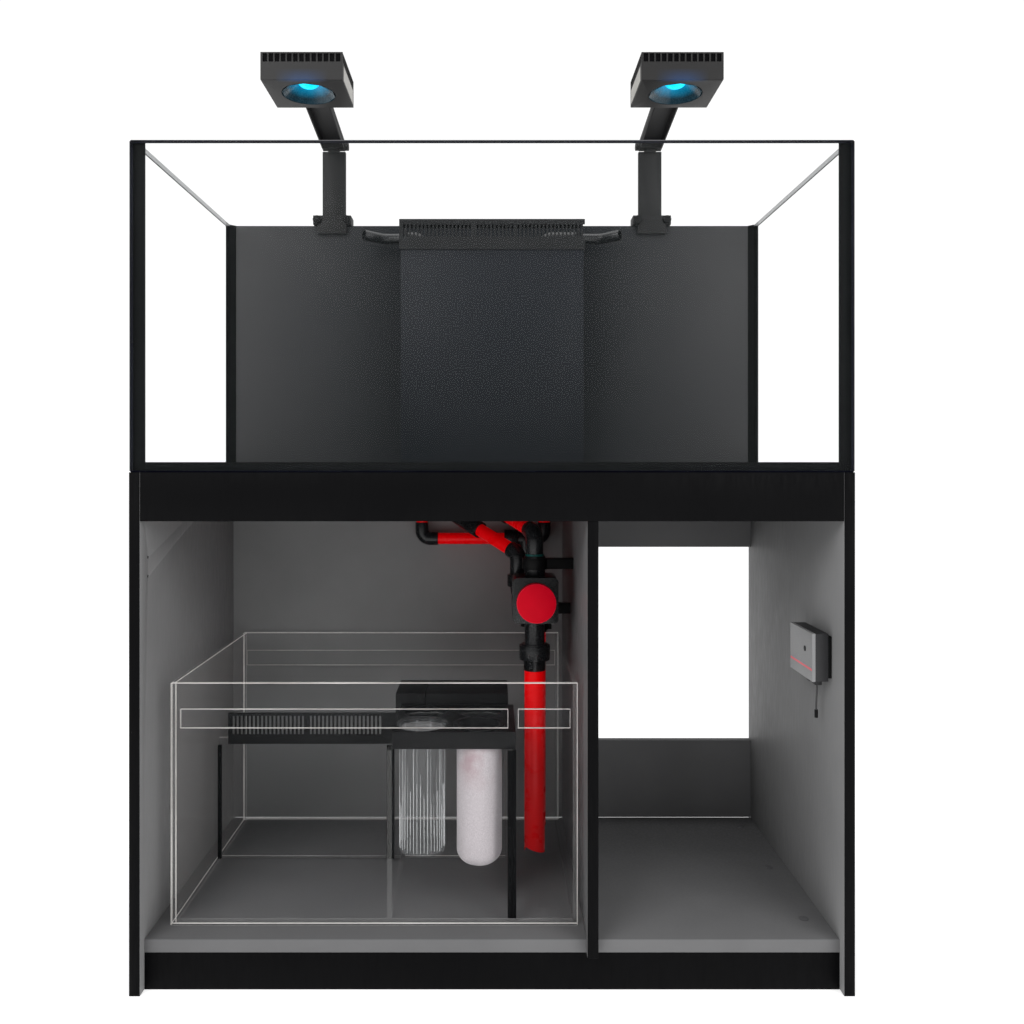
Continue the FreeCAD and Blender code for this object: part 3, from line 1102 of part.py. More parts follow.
cabinet()
tank()
overflow()
bulkheads()
standpipes()
riser_elbows = [nozzle(-1, "return_left_x"), nozzle(1, "return_right_x")]
drains()
downpipe()
valve()
returns(riser_elbows)
clips()
sump()
weir_comb()
filter_tray()
filters()
lamps()
controller()
check_and_write()
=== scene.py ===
"""Looks of a reef aquarium on its cabinet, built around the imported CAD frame.

Everything is in metres in the CAD frame: +X right, +Y to the back, +Z up, floor at 0.
"""

import json
import math
from random import Random

import bmesh
import bpy
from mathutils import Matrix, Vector


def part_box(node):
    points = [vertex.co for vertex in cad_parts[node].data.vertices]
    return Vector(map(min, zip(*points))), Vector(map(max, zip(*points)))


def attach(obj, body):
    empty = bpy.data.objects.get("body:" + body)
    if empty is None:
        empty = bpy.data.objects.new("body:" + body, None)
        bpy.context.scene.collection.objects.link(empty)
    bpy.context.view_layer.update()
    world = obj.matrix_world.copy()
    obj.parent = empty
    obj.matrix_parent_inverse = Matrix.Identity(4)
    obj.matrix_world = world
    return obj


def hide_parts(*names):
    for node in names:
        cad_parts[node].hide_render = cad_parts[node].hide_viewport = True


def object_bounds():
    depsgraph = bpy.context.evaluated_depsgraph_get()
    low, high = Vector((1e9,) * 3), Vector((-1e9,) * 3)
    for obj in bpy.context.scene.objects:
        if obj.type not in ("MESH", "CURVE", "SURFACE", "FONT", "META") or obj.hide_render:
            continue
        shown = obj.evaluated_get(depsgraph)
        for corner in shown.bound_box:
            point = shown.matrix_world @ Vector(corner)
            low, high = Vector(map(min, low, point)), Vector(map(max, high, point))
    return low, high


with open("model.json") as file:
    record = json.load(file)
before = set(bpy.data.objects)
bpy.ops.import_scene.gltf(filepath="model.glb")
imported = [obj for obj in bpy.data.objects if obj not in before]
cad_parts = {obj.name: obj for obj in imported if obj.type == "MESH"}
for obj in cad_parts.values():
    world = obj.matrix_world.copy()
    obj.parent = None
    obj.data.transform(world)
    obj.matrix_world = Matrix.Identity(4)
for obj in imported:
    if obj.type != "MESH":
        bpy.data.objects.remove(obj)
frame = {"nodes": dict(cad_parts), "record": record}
cad_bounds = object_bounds()
MM = 0.001
BODY_OF = {node: body for body, nodes in frame["record"]["behaviour"]["bodies"].items() for node in nodes}
SLOT_OF = {row["node"]: row["material_slot"] for row in frame["record"]["subparts"]}


# ---------------------------------------------------------------- studio
def studio():
    """Camera at the front, white surroundings, soft lights and a pale floor."""
    scene = bpy.context.scene
    scene.view_settings.view_transform = "Standard"
    scene.cycles.transparent_max_bounces = 40
    scene.cycles.max_bounces = 8
    camera = bpy.data.objects.new("camera", bpy.data.cameras.new("camera"))
    scene.collection.objects.link(camera)
    distance, height = 1.54, 0.883
    camera.location = (0.0, cad_bounds[0][1] - distance, height)
    camera.rotation_euler = (math.radians(90), 0, 0)
    camera.data.lens = 32.77
    camera.data.shift_x = 0.0195
    camera.data.shift_y = -0.0488
    camera.data.clip_end = 100
    scene.camera = camera
    world = bpy.data.worlds.new("studio")
    scene.world = world
    world.use_nodes = True
    nodes, links = world.node_tree.nodes, world.node_tree.links
    background = nodes["Background"]
    rays = nodes.new("ShaderNodeLightPath")
    level = nodes.new("ShaderNodeMapRange")
    as_light, as_seen = 0.55, 1.05
    level.inputs["To Min"].default_value = as_light
    level.inputs["To Max"].default_value = as_seen
    links.new(rays.outputs["Is Camera Ray"], level.inputs["Value"])
    links.new(level.outputs["Result"], background.inputs["Strength"])
    background.inputs["Color"].default_value = (1, 1, 1, 1)
    for name, place, turn, size, power in (
            ("key", (-1.6, -2.6, 2.6), (math.radians(58), 0, math.radians(-30)), 1.6, 38),
            ("fill", (1.9, -2.4, 1.9), (math.radians(66), 0, math.radians(38)), 1.6, 26),
            ("overhead", (0, 0.1, 3.2), (0, 0, 0), 2.0, 24)):
        lamp = bpy.data.lights.new(name, "AREA")
        lamp.size = size
        lamp.energy = power
        light = bpy.data.objects.new(name, lamp)
        light.location = place
        light.rotation_euler = turn
        scene.collection.objects.link(light)
    form = bmesh.new()
    bmesh.ops.create_grid(form, x_segments=2, y_segments=2, size=20)
    mesh = bpy.data.meshes.new("floor")
    form.to_mesh(mesh)
    floor = bpy.data.objects.new("floor", mesh)
    scene.collection.objects.link(floor)
    moulded("pale_floor", (0.86, 0.86, 0.86), (0.9, 0.9, 0.9), 0.7, 0.85, grain=6, bump=0.0, specular=0.1,
            glow=0.55)
    floor.data.materials.append(FINISHES["pale_floor"])


# ---------------------------------------------------------------- finishes
FINISHES = {}


def blank(name):
    """Make a material, keep it by its name, and give its nodes, links and main shader."""
    made = bpy.data.materials.new(name)
    made.use_nodes = True
    tree = made.node_tree
    shader = tree.nodes["Principled BSDF"]
    FINISHES[name] = made
    return tree.nodes, tree.links, shader


def noise(nodes, links, scale, detail=3.0, stretch=None, seed=0.0):
    """Noise on Object coordinates; stretch squeezes it along the axes."""
    place = nodes.new("ShaderNodeTexCoord")
    out = place.outputs["Object"]
    if stretch or seed:
        mapping = nodes.new("ShaderNodeMapping")
        mapping.inputs["Scale"].default_value = stretch or (1, 1, 1)
        mapping.inputs["Location"].default_value = (seed, seed, seed)
        links.new(out, mapping.inputs["Vector"])
        out = mapping.outputs["Vector"]
    texture = nodes.new("ShaderNodeTexNoise")
    texture.inputs["Scale"].default_value = scale
    texture.inputs["Detail"].default_value = detail
    links.new(out, texture.inputs["Vector"])
    return texture.outputs["Fac"]


def spread(nodes, links, value, low, high, start=0.35, end=0.65):
    """Map a value between start and end onto the range from low to high."""
    ramp = nodes.new("ShaderNodeMapRange")
    ramp.inputs["From Min"].default_value = start
    ramp.inputs["From Max"].default_value = end
    ramp.inputs["To Min"].default_value = low
    ramp.inputs["To Max"].default_value = high
    links.new(value, ramp.inputs["Value"])
    return ramp.outputs["Result"]


def blend_colours(nodes, links, factor, low, high):
    """Mix two colours, each one either plain or made by other nodes."""
    mix = nodes.new("ShaderNodeMix")
    mix.data_type = "RGBA"
    for name, colour in (("A", low), ("B", high)):
        socket = next(s for s in mix.inputs if s.name == name and s.type == "RGBA")
        if isinstance(colour, tuple):
            socket.default_value = (*colour, 1)
        else:
            links.new(colour, socket)
    links.new(factor, next(s for s in mix.inputs if s.name == "Factor" and s.type == "VALUE"))
    return next(s for s in mix.outputs if s.type == "RGBA")


def place_along(nodes, links, axis):
    """How far along an axis of the object a point lies, in metres."""
    place = nodes.new("ShaderNodeTexCoord")
    split = nodes.new("ShaderNodeSeparateXYZ")
    links.new(place.outputs["Object"], split.inputs["Vector"])
    return split.outputs[axis]


def calculate(nodes, links, operation, first, second=None):
    """One sum on a value, with a number or another value beside it."""
    sum_node = nodes.new("ShaderNodeMath")
    sum_node.operation = operation
    links.new(first, sum_node.inputs[0])
    if isinstance(second, float):
        sum_node.inputs[1].default_value = second
    elif second is not None:
        links.new(second, sum_node.inputs[1])
    return sum_node.outputs[0]


def add_bump(nodes, links, shader, height, distance):
    """Raise the surface by a height pattern, the distance being in metres."""
    bump = nodes.new("ShaderNodeBump")
    bump.inputs["Distance"].default_value = distance
    links.new(height, bump.inputs["Height"])
    links.new(bump.outputs["Normal"], shader.inputs["Normal"])


def moulded(name, dark, light, rough_low, rough_high, grain=900, bump=0.00003, specular=0.3, cloud=9.0,
            glow=0.0):
    """Mottled colour, uneven gloss and a fine grain: plastics, laminates, paints and metals."""
    nodes, links, shader = blank(name)
    tone = spread(nodes, links, noise(nodes, links, cloud, 4, seed=3.1), 0, 1)
    links.new(blend_colours(nodes, links, tone, dark, light), shader.inputs["Base Color"])
    fine = noise(nodes, links, grain, 2)
    links.new(spread(nodes, links, fine, rough_low, rough_high), shader.inputs["Roughness"])
    if bump:
        add_bump(nodes, links, shader, fine, bump)
    shader.inputs["Specular IOR Level"].default_value = specular
    if glow:
        shader.inputs["Emission Color"].default_value = (1, 1, 1, 1)
        shader.inputs["Emission Strength"].default_value = glow


def two_tone(name, axis, limit, below, above):
    """Laminated board: one laminate below the limit along an axis, another above it."""
    nodes, links, shader = blank(name)
    side = calculate(nodes, links, "GREATER_THAN", place_along(nodes, links, axis), float(limit))
    tone = spread(nodes, links, noise(nodes, links, 5, 4), 0, 1)
    low = blend_colours(nodes, links, tone, *below)
    high = blend_colours(nodes, links, tone, *above)
    links.new(blend_colours(nodes, links, side, low, high), shader.inputs["Base Color"])
    grain = noise(nodes, links, 260, 3, (1, 1, 0.12))
    links.new(spread(nodes, links, grain, 0.42, 0.62), shader.inputs["Roughness"])
    add_bump(nodes, links, shader, grain, 0.00002)
    shader.inputs["Specular IOR Level"].default_value = 0.06


def clear(name, tint, alpha, grazing=None, specular=0.5, rough=0.02):
    """Clear glass or acrylic: see-through from the front, with faint smears in its gloss."""
    nodes, links, shader = blank(name)
    shader.inputs["Base Color"].default_value = (*tint, 1)
    shader.inputs["Specular IOR Level"].default_value = specular
    smear = noise(nodes, links, 14, 5, (1, 1, 0.4))
    links.new(spread(nodes, links, smear, rough, rough + 0.05), shader.inputs["Roughness"])
    if grazing is None:
        shader.inputs["Alpha"].default_value = alpha
    else:
        weight = nodes.new("ShaderNodeLayerWeight")
        weight.inputs["Blend"].default_value = 0.35
        links.new(spread(nodes, links, weight.outputs["Facing"], alpha, grazing, 0.25, 1.0),
                  shader.inputs["Alpha"])


def painted_glass():
    """Back-painted glass, nearly black in the middle and paler towards both ends; the paler ends are painted
    light.
    """
    nodes, links, shader = blank("painted_glass")
    away = calculate(nodes, links, "ABSOLUTE", place_along(nodes, links, "X"))
    # paler towards both ends: painted light
    paler = spread(nodes, links, away, 0, 1, 0.16, 0.62)
    cloud = spread(nodes, links, noise(nodes, links, 2.2, 3), 0, 1, 0.3, 0.7)
    middle = blend_colours(nodes, links, cloud, (0.0105, 0.0125, 0.016), (0.0150, 0.0165, 0.0195))
    end = blend_colours(nodes, links, cloud, (0.050, 0.050, 0.052), (0.060, 0.060, 0.061))
    links.new(blend_colours(nodes, links, paler, middle, end), shader.inputs["Base Color"])
    links.new(spread(nodes, links, noise(nodes, links, 30, 4), 0.35, 0.5), shader.inputs["Roughness"])
    shader.inputs["Specular IOR Level"].default_value = 0.08


def lit_red():
    """Glossy red pipe, painted brighter above the sump than down in it, where it lies in shade, with a faint
    painted glow that grows with height.
    """
    nodes, links, shader = blank("red_pipe")
    # higher up the pipe is painted brighter, lower down darker: painted light and painted shade
    height = spread(nodes, links, place_along(nodes, links, "Z"), 0, 1, 0.28, 0.46)
    cloud = spread(nodes, links, noise(nodes, links, 9, 3), 0, 1)
    low = blend_colours(nodes, links, cloud, (0.66, 0.0, 0.002), (0.74, 0.0005, 0.003))
    high = blend_colours(nodes, links, cloud, (0.86, 0.0, 0.002), (0.94, 0.0008, 0.004))
    links.new(blend_colours(nodes, links, height, low, high), shader.inputs["Base Color"])
    # a faint glow, stronger higher up: painted light
    shader.inputs["Emission Color"].default_value = (1.0, 0.0, 0.003, 1)
    links.new(spread(nodes, links, height, 0.04, 0.14, 0.0, 1.0), shader.inputs["Emission Strength"])
    links.new(spread(nodes, links, noise(nodes, links, 40, 3), 0.24, 0.36), shader.inputs["Roughness"])
    shader.inputs["Specular IOR Level"].default_value = 0.16


def reflector_finish():
    """The lamp's faceted reflector: blue light at its throat, grey metal at its rim."""
    nodes, links, shader = blank("lit_reflector")
    low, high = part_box("lamp_lens_left")
    depth = spread(nodes, links, place_along(nodes, links, "Z"), 0, 1, low[2] + 7 * MM, high[2] - 4 * MM)
    grain = spread(nodes, links, noise(nodes, links, 70, 3), 0, 1)
    throat = blend_colours(nodes, links, grain, (0.0, 0.17, 0.31), (0.0, 0.21, 0.37))
    rim = blend_colours(nodes, links, grain, (0.006, 0.018, 0.026), (0.009, 0.024, 0.034))
    colour = blend_colours(nodes, links, depth, rim, throat)
    links.new(colour, shader.inputs["Base Color"])
    links.new(colour, shader.inputs["Emission Color"])
    shader.inputs["Emission Strength"].default_value = 0.75
    shader.inputs["Specular IOR Level"].default_value = 0.35
    links.new(spread(nodes, links, noise(nodes, links, 300, 2), 0.2, 0.34), shader.inputs["Roughness"])


def lit_housing():
    """Lamp metal that takes a faint blue light low on the middle of its front."""
    nodes, links, shader = blank("lit_housing")
    low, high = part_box("lamp_housing_right")
    near = spread(nodes, links, place_along(nodes, links, "Y"), 1, 0, low[1] + 1 * MM, low[1] + 12 * MM)
    foot = spread(nodes, links, place_along(nodes, links, "Z"), 1, 0, low[2], low[2] + 22 * MM)
    away = calculate(nodes, links, "ABSOLUTE", place_along(nodes, links, "X"))
    off = calculate(nodes, links, "SUBTRACT", away, (low[0] + high[0]) / 2)
    middle = spread(nodes, links, calculate(nodes, links, "ABSOLUTE", off), 1, 0, 10 * MM, 50 * MM)
    front_foot = calculate(nodes, links, "MULTIPLY", near, foot)
    lit = calculate(nodes, links, "MULTIPLY", front_foot, middle)
    grain = noise(nodes, links, 1600, 3)
    metal = blend_colours(nodes, links, spread(nodes, links, grain, 0, 1), (0.015, 0.0145, 0.0145),
                          (0.021, 0.0205, 0.0205))
    blue = blend_colours(nodes, links, lit, (0.0, 0.0, 0.0), (0.0, 0.03, 0.11))
    links.new(metal, shader.inputs["Base Color"])
    links.new(blue, shader.inputs["Emission Color"])
    shader.inputs["Emission Strength"].default_value = 1.0
    links.new(spread(nodes, links, grain, 0.38, 0.55), shader.inputs["Roughness"])
    shader.inputs["Specular IOR Level"].default_value = 0.28
    add_bump(nodes, links, shader, grain, 0.00003)


def glowing(name, dark, light, strength, cloud):
    """A surface that gives off light of its own colour."""
    nodes, links, shader = blank(name)
    tone = spread(nodes, links, noise(nodes, links, cloud, 2), 0, 1)
    colour = blend_colours(nodes, links, tone, dark, light)
    links.new(colour, shader.inputs["Base Color"])
    links.new(colour, shader.inputs["Emission Color"])
    shader.inputs["Emission Strength"].default_value = strength


def felt_finish():
    """Needle felt: fibrous, soft, with pale pink stains towards the top."""
    nodes, links, shader = blank("felt")
    fibre = noise(nodes, links, 900, 6, (1, 1, 0.5))
    stain = spread(nodes, links, noise(nodes, links, 16, 3, seed=1.7), 0, 1, 0.48, 0.7)
    high = spread(nodes, links, place_along(nodes, links, "Z"), 0, 1, 0.30, 0.36)
    stained = calculate(nodes, links, "MULTIPLY", stain, high)
    thickness = spread(nodes, links, fibre, 0, 1)
    weave = blend_colours(nodes, links, thickness, (0.42, 0.385, 0.405), (0.57, 0.53, 0.55))
    links.new(blend_colours(nodes, links, stained, weave, (0.34, 0.22, 0.24)), shader.inputs["Base Color"])
    shader.inputs["Roughness"].default_value = 0.95
    shader.inputs["Sheen Weight"].default_value = 0.4
    shader.inputs["Specular IOR Level"].default_value = 0.1
    add_bump(nodes, links, shader, fibre, 0.0004)


# dark and light tone of each laminate
BLACK_LAMINATE = ((0.0016, 0.0016, 0.002), (0.0024, 0.0024, 0.0028))
GREY_LAMINATE = ((0.150, 0.150, 0.153), (0.172, 0.172, 0.175))
# a paler copy of the grey laminate, for the inner walls that take more light: painted light
PAINTED_LIGHT_GREY_LAMINATE = ((0.235, 0.235, 0.237), (0.262, 0.262, 0.264))


def board_finishes():
    """The cabinet's boards: most have black laminate on one side and grey on the other; on the side panels
    and the back board the grey is a paler copy, which is painted light.
    """
    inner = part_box("side_panel_right")[0][0]
    # the side panels' inner faces take the paler grey: painted light
    two_tone("left_board", "X", -inner - 0.2 * MM, BLACK_LAMINATE, PAINTED_LIGHT_GREY_LAMINATE)
    two_tone("right_board", "X", inner + 0.2 * MM, PAINTED_LIGHT_GREY_LAMINATE, BLACK_LAMINATE)
    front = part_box("centre_divider")[0][1]
    two_tone("divider_board", "Y", front + 1.2 * MM, BLACK_LAMINATE, GREY_LAMINATE)
    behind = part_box("back_panel_left")[1][1]
    # the back board's inner face takes the paler grey: painted light
    two_tone("back_board", "Y", behind - 0.8 * MM, PAINTED_LIGHT_GREY_LAMINATE, BLACK_LAMINATE)
    two_tone("rail_board", "Y", behind - 0.8 * MM, GREY_LAMINATE, BLACK_LAMINATE)
    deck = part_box("top_panel")[0][2]
    two_tone("deck_board", "Z", deck + 1 * MM, GREY_LAMINATE, BLACK_LAMINATE)
    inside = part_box("front_fascia")[1][1]
    two_tone("fascia_board", "Y", inside - 2 * MM, BLACK_LAMINATE, GREY_LAMINATE)
    below_floor = -1.0
    two_tone("floor_board", "Z", below_floor, GREY_LAMINATE, GREY_LAMINATE)
    two_tone("plinth_board", "Z", below_floor, BLACK_LAMINATE, BLACK_LAMINATE)


def make_finishes():
    """Every finish: cabinet, display tank, plumbing, sump, lamps, controller."""
    board_finishes()
    moulded("cap_grey", (0.10, 0.10, 0.105), (0.13, 0.13, 0.135), 0.4, 0.6)
    clear("tank_glass", (0.55, 0.62, 0.62), 0.006, specular=0.3)
    clear("ground_edge", (0.05, 0.065, 0.07), 0.75, specular=0.3)
    moulded("dark_edge", (0.001, 0.001, 0.006), (0.004, 0.005, 0.012), 0.15, 0.3, specular=0.15)
    painted_glass()
    moulded("tank_base", (0.0014, 0.0016, 0.002), (0.003, 0.0032, 0.004), 0.4, 0.55, bump=0.0, specular=0.03)
    moulded("box_acrylic", (0.0115, 0.0135, 0.0175), (0.0155, 0.017, 0.021), 0.34, 0.5, bump=0.0,
            specular=0.1, cloud=2.2)
    moulded("silicone", (0.0010, 0.0010, 0.0012), (0.002, 0.002, 0.0024), 0.45, 0.6, grain=240, bump=0.00003,
            specular=0.04)
    moulded("comb_plastic", (0.0125, 0.013, 0.014), (0.016, 0.0165, 0.0175), 0.4, 0.55, bump=0.0,
            specular=0.12)
    moulded("black_plastic", (0.0045, 0.0045, 0.005), (0.0075, 0.0075, 0.008), 0.38, 0.58, bump=0.00001,
            specular=0.14)
    moulded("black_fitting", (0.0055, 0.0062, 0.007), (0.0105, 0.0115, 0.013), 0.22, 0.38, grain=500,
            bump=0.00001, specular=0.36)
    lit_red()
    moulded("teal_rubber", (0.0, 0.06, 0.055), (0.0, 0.10, 0.09), 0.35, 0.5)
    moulded("red_knob", (0.62, 0.0, 0.012), (0.72, 0.0, 0.016), 0.4, 0.52, grain=1200, bump=0.00001,
            specular=0.07)
    # brighter red for the knob's front bevel: painted highlight
    moulded("knob_painted_highlight", (0.80, 0.004, 0.035), (0.90, 0.008, 0.045), 0.3, 0.4, grain=1200, bump=0.0,
            specular=0.3)
    clear("sump_glass", (0.35, 0.38, 0.40), 0.005, grazing=0.06, specular=0.3)
    clear("side_glass", (0.40, 0.39, 0.38), 0.12, grazing=0.26, specular=0.5)
    clear("sump_edge", (0.50, 0.50, 0.49), 0.10, specular=0.3)
    clear("dim_edge", (0.55, 0.55, 0.54), 0.18, specular=0.3)
    # pale glowing glass edge: painted highlight
    moulded("edge_painted_highlight", (0.46, 0.43, 0.40), (0.92, 0.90, 0.86), 0.2, 0.4, grain=60, bump=0.0, cloud=5,
            specular=0.5, glow=0.10)
    # pale glowing edge for the bevels of partitions and braces: painted highlight
    moulded("brace_painted_highlight", (0.40, 0.37, 0.35), (0.66, 0.64, 0.62), 0.2, 0.4, grain=60, bump=0.0, cloud=6,
            specular=0.4, glow=0.02)
    clear("clear_plastic", (0.50, 0.52, 0.53), 0.035, grazing=0.2, specular=0.5, rough=0.04)
    clear("clear_rib", (0.85, 0.87, 0.88), 0.34, specular=0.9, rough=0.04)
    clear("funnel_rim", (0.40, 0.40, 0.40), 0.35, specular=0.6)
    felt_finish()
    moulded("lamp_metal", (0.011, 0.011, 0.0115), (0.016, 0.016, 0.0165), 0.38, 0.55, grain=1600,
            bump=0.00002, specular=0.2)
    # near-black for slot floors and the strip behind the comb: painted shade
    moulded("recess_painted_shade", (0.0015, 0.0015, 0.002), (0.003, 0.003, 0.0035), 0.5, 0.7, specular=0.05)
    moulded("side_grey", (0.42, 0.41, 0.38), (0.50, 0.49, 0.46), 0.3, 0.45, grain=900, bump=0.00002,
            specular=0.5)
    glowing("lit_lens", (0.0, 0.56, 0.86), (0.0, 0.66, 0.92), 1.15, 60)
    reflector_finish()
    lit_housing()
    # paler arm metal for its underside: painted light
    moulded("underside_painted_light", (0.016, 0.016, 0.017), (0.022, 0.022, 0.023), 0.4, 0.55, grain=900, bump=0.00002,
            specular=0.3)
    moulded("case_grey", (0.024, 0.024, 0.026), (0.034, 0.034, 0.036), 0.42, 0.6)
    moulded("cover_grey", (0.25, 0.25, 0.255), (0.30, 0.30, 0.305), 0.38, 0.55)
    moulded("stripe_red", (0.80, 0.09, 0.12), (0.90, 0.13, 0.17), 0.35, 0.5)
    moulded("lead_rubber", (0.05, 0.05, 0.052), (0.07, 0.07, 0.072), 0.45, 0.6, grain=900)


# ---------------------------------------------------------------- making pieces
def finish_piece(form, name, body, *finishes, slot=None, replaces=(), smooth=35):
    """Write a bmesh out as a piece that rides on a body; faces keep their finish numbers."""
    mesh = bpy.data.meshes.new(name)
    form.to_mesh(mesh)
    form.free()
    mesh.polygons.foreach_set("use_smooth", [True] * len(mesh.polygons))
    mesh.set_sharp_from_angle(angle=math.radians(smooth))
    piece = bpy.data.objects.new(name, mesh)
    bpy.context.scene.collection.objects.link(piece)
    for finish in finishes:
        mesh.materials.append(FINISHES[finish])
    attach(piece, body)
    if replaces:
        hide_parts(*replaces)
    return piece


def eased(form, width, segments=2, angle=32):
    """Round off every edge where the surface turns by more than an angle."""
    edges = [edge for edge in form.edges
             if len(edge.link_faces) == 2 and edge.calc_face_angle(0) > math.radians(angle)]
    bmesh.ops.bevel(form, geom=edges, offset=width, offset_type="OFFSET", segments=segments, profile=0.5,
                    affect="EDGES", clamp_overlap=True, material=-1)


def copied(node, width=0.8, segments=2):
    """The CAD node's own shape as a bmesh, merged and with its edges eased."""
    form = bmesh.new()
    form.from_mesh(frame["nodes"][node].data)
    bmesh.ops.remove_doubles(form, verts=form.verts, dist=0.000002)
    bmesh.ops.dissolve_limit(form, angle_limit=math.radians(0.5), verts=form.verts, edges=form.edges)
    if width:
        eased(form, width * MM, segments)
    form.normal_update()
    return form


def in_place(form, node, *finishes, smooth=35):
    """Put a finished form in its node's place."""
    return finish_piece(form, node + "_finished", BODY_OF[node], *finishes, slot=SLOT_OF[node],
                        replaces=[node], smooth=smooth)


def refined(node, finish, width=0.8, segments=2):
    """The CAD node's own shape with its edges eased, in place of the node."""
    return in_place(copied(node, width, segments), node, finish)


def corners_of(node):
    """The low and high corner of a CAD node."""
    return [Vector(corner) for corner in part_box(node)]


def slab(form, low, high, width=1.0, segments=2, finish=0):
    """An eased box added to a bmesh."""
    verts = bmesh.ops.create_cube(form, size=1.0)["verts"]
    low, high = Vector(low), Vector(high)
    span = high - low
    bmesh.ops.scale(form, vec=span, verts=verts)
    bmesh.ops.translate(form, vec=(low + high) / 2, verts=verts)
    faces = {face for vert in verts for face in vert.link_faces}
    for face in faces:
        face.material_index = finish
    if width:
        edges = list({edge for face in faces for edge in face.edges})
        bmesh.ops.bevel(form, geom=edges, offset=min(width * MM, min(span) * 0.4), offset_type="OFFSET",
                        segments=segments, profile=0.5, affect="EDGES", clamp_overlap=True, material=-1)


def drum(form, centre, axis, radius, length, width=0.8, sides=48, finish=0):
    """A cylinder centred on a point along an axis, with its end edges eased."""
    verts = bmesh.ops.create_cone(form, cap_ends=True, segments=sides, radius1=radius, radius2=radius,
                                  depth=length)["verts"]
    faces = {face for vert in verts for face in vert.link_faces}
    for face in faces:
        face.material_index = finish
    if width:
        ends = [edge for edge in {edge for face in faces for edge in face.edges}
                if any(len(face.verts) > 4 for face in edge.link_faces)]
        bevelled = bmesh.ops.bevel(form, geom=ends, offset=width * MM, offset_type="OFFSET", segments=2,
                                   profile=0.5, affect="EDGES", clamp_overlap=True, material=-1)
        verts = list(set(bevelled["verts"]) | {vert for vert in verts if vert.is_valid})
    turn = Vector((0, 0, 1)).rotation_difference(Vector(axis)).to_matrix()
    bmesh.ops.rotate(form, cent=(0, 0, 0), matrix=turn, verts=verts)
    bmesh.ops.translate(form, vec=Vector(centre), verts=verts)


def pane(form, low, high, thin, width=1.0, edge_finish=1, line_finish=2):
    """A glass pane: big faces, ground edges and eased corners, each in a finish of its own."""
    low, high = Vector(low), Vector(high)
    verts = bmesh.ops.create_cube(form, size=1.0)["verts"]
    bmesh.ops.scale(form, vec=high - low, verts=verts)
    bmesh.ops.translate(form, vec=(low + high) / 2, verts=verts)
    faces = {face for vert in verts for face in vert.link_faces}
    for face in faces:
        face.normal_update()
        face.material_index = 0 if abs(face.normal[thin]) > 0.9 else edge_finish
    bmesh.ops.bevel(form, geom=list({edge for face in faces for edge in face.edges}), offset=width * MM,
                    offset_type="OFFSET", segments=1, profile=0.5, affect="EDGES", clamp_overlap=True,
                    material=line_finish)


def flat_faces(form, normal):
    """The faces that point one way."""
    way = Vector(normal)
    return [face for face in form.faces if face.normal.dot(way) > 0.99]


def sink(form, normal, spans, depth, finish, level=None):
    """Sink rectangles into a flat side and give them a finish.

    Spans are (low corner, high corner). With no depth the rectangles only take the finish. A level picks
    out the one side that lies that far along the normal.
    """
    way = Vector(normal)
    axes = [axis for axis in range(3) if abs(way[axis]) < 0.5]

    def chosen():
        return [face for face in flat_faces(form, normal)
                if level is None or abs(face.calc_center_median().dot(way) - level) < 0.0004]
    for low, high in spans:
        for axis in axes:
            for corner in (low, high):
                plane = [0.0, 0.0, 0.0]
                plane[axis] = 1.0
                near = [face for face in chosen()
                        if all(min(vert.co[a] for vert in face.verts) < max(low[a], high[a])
                               and max(vert.co[a] for vert in face.verts) > min(low[a], high[a])
                               for a in axes)]
                geom = near + list({edge for face in near for edge in face.edges})
                geom += list({vert for face in near for vert in face.verts})
                bmesh.ops.bisect_plane(form, geom=geom, dist=0.000001, plane_co=corner, plane_no=plane)
    inside = [face for face in chosen()
              if any(all(low[a] < face.calc_center_median()[a] < high[a] for a in axes)
                     for low, high in spans)]
    if depth:
        made = bmesh.ops.extrude_face_region(form, geom=inside)["geom"]
        bmesh.ops.delete(form, geom=inside, context="FACES_ONLY")
        verts = [item for item in made if isinstance(item, bmesh.types.BMVert)]
        bmesh.ops.translate(form, vec=-way * depth, verts=verts)
        inside = [item for item in made if isinstance(item, bmesh.types.BMFace)]
    for face in inside:
        face.material_index = finish


# ---------------------------------------------------------------- cabinet
def cabinet():
    """The boards with eased edges, and their caps."""
    for node, finish in (("side_panel_left", "left_board"), ("side_panel_right", "right_board"),
                         ("centre_divider", "divider_board"), ("floor_panel", "floor_board"),
                         ("top_panel", "deck_board"), ("front_fascia", "fascia_board"),
                         ("plinth_boards", "plinth_board"), ("back_panel_left", "back_board"),
                         ("back_rails_right", "rail_board")):
        refined(node, finish, 0.7)
    refined("cam_lock_caps", "cap_grey", 0.3)


